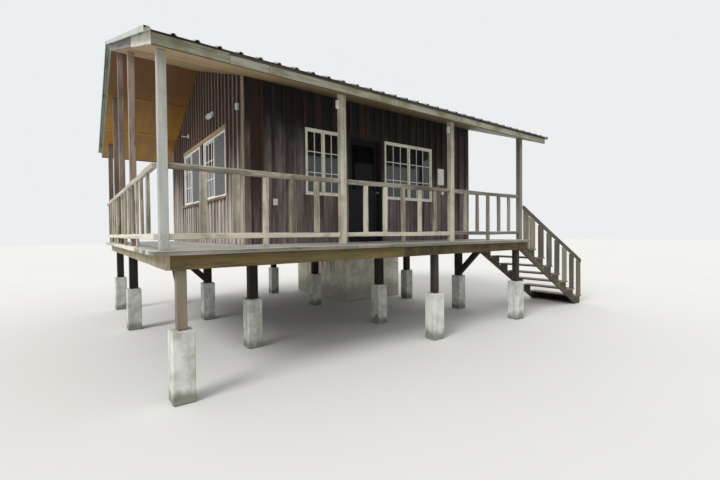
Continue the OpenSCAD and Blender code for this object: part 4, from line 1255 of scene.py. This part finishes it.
def make_fixtures(walls):
    front = walls["front"]
    left = walls["left"]
    work = Joinery(111)
    for wall, *details in (
        (front, HOUSE_LO.x + 0.525, 0.72, 0.08, 0.11, 0.04),
        (front, HOUSE_HI.x - 0.97, 1.11, 0.09, 0.09, 0.03),
        (left, left.start + 0.25, 2.32, 0.07, 0.11, 0.05),
        (left, left.start + 1.7, 2.55, 0.1, 0.1, 0.04),
        (left, left.start + 3.7, 2.53, 0.07, 0.1, 0.02),
        (left, left.start + 3.7, 2.51, 0.025, 0.025, 0.16, 0.004),
    ):
        box_part(work, wall, *details)
    for lo, hi in solids("posts_front")[1:3]:
        low = (lo.x - 0.045, lo.y + 0.015, hi.z - 0.24)
        work.board(low, (lo.x, lo.y + 0.07, hi.z - 0.12), axis=2, edge=0.008)
    work.piece("wall_boxes", LAMP)
    sheet = Joinery(112)
    box_part(sheet, front, HOUSE_HI.x - 1.03, 1.48, 0.21, 0.38, 0.004, 0.001, BATTEN_THICK)
    sheet.piece("notice_sheet", PAPER)
    place = Vector((HOUSE_LO.x - 0.04, left.start + 1.7, DECK_TOP + 2.52))
    lamp_head("flood_lamp_1", place, Vector((-0.6, -0.75, -0.35)))
    lamp_head("flood_lamp_2", place, Vector((-0.6, 0.75, -0.35)))


# Stage, light and camera

def make_stage():
    """A plain pale floor, and a pale surround that only the camera, metal and glass see."""
    ground = Finish("floor")
    ground.base(0xDEDDD9, 0xE4E3E0, ground.cloud(0.25, 2.0))
    skin = bmesh.new()
    bmesh.ops.create_grid(skin, x_segments=1, y_segments=1, size=90)
    floor = shown("floor", skin, ground.done(0.9))
    floor.location.z = -0.002
    world = bpy.data.worlds.new("studio")
    bpy.context.scene.world = world
    world.use_nodes = True
    nodes = Nodes(world.node_tree)
    rays = nodes.node("ShaderNodeLightPath").outputs
    seen = Value(nodes, rays["Is Camera Ray"])
    seen = seen.larger(Value(nodes, rays["Is Glossy Ray"])).larger(Value(nodes, rays["Is Transmission Ray"]))
    shade = nodes.node("ShaderNodeBackground", {"Color": 0xECEEF0, "Strength": 1.0}).outputs[0]
    light = nodes.node("ShaderNodeBackground", {"Color": 0xFFFFFF, "Strength": 0.8}).outputs[0]
    both = nodes.node("ShaderNodeMixShader", {0: seen, 1: light, 2: shade})
    nodes.node("ShaderNodeOutputWorld", {"Surface": both.outputs[0]})


def make_light():
    """One soft sun, high, from the left and a little from the front."""
    lamp = bpy.data.lights.new("soft_sun", "SUN")
    lamp.energy = 1.9
    lamp.angle = math.radians(25)
    sun = added("soft_sun", lamp)
    sun.rotation_mode = "QUATERNION"
    sun.rotation_quaternion = Vector((0.85, 0.25, -0.75)).to_track_quat("-Z", "Y")


def make_camera():
    """The camera at the photo's place: turned to the right, tipped down a little and rolled a little."""
    lens = bpy.data.cameras.new("camera")
    lens.sensor_width = 36
    lens.lens = 19.26
    lens.clip_start = 0.1
    lens.clip_end = 400
    place = Matrix.Translation((-5.6655, -8.2011, 1.8957))
    for degrees, axis in ((-36.731, "Z"), (90 - 1.054, "X"), (-0.499, "Z")):
        place = place @ Matrix.Rotation(math.radians(degrees), 4, axis)
    bpy.context.scene.camera = added("camera", lens)
    bpy.context.scene.camera.matrix_world = place


make_ground()
make_platform()
house_walls = make_walls()
make_windows(house_walls)
make_trims(house_walls)
make_door()
make_veranda()
make_roof()
make_stair()
make_fixtures(house_walls)
make_stage()
make_light()
make_camera()
bpy.context.scene.view_settings.view_transform = "Standard"
bpy.context.view_layer.update()
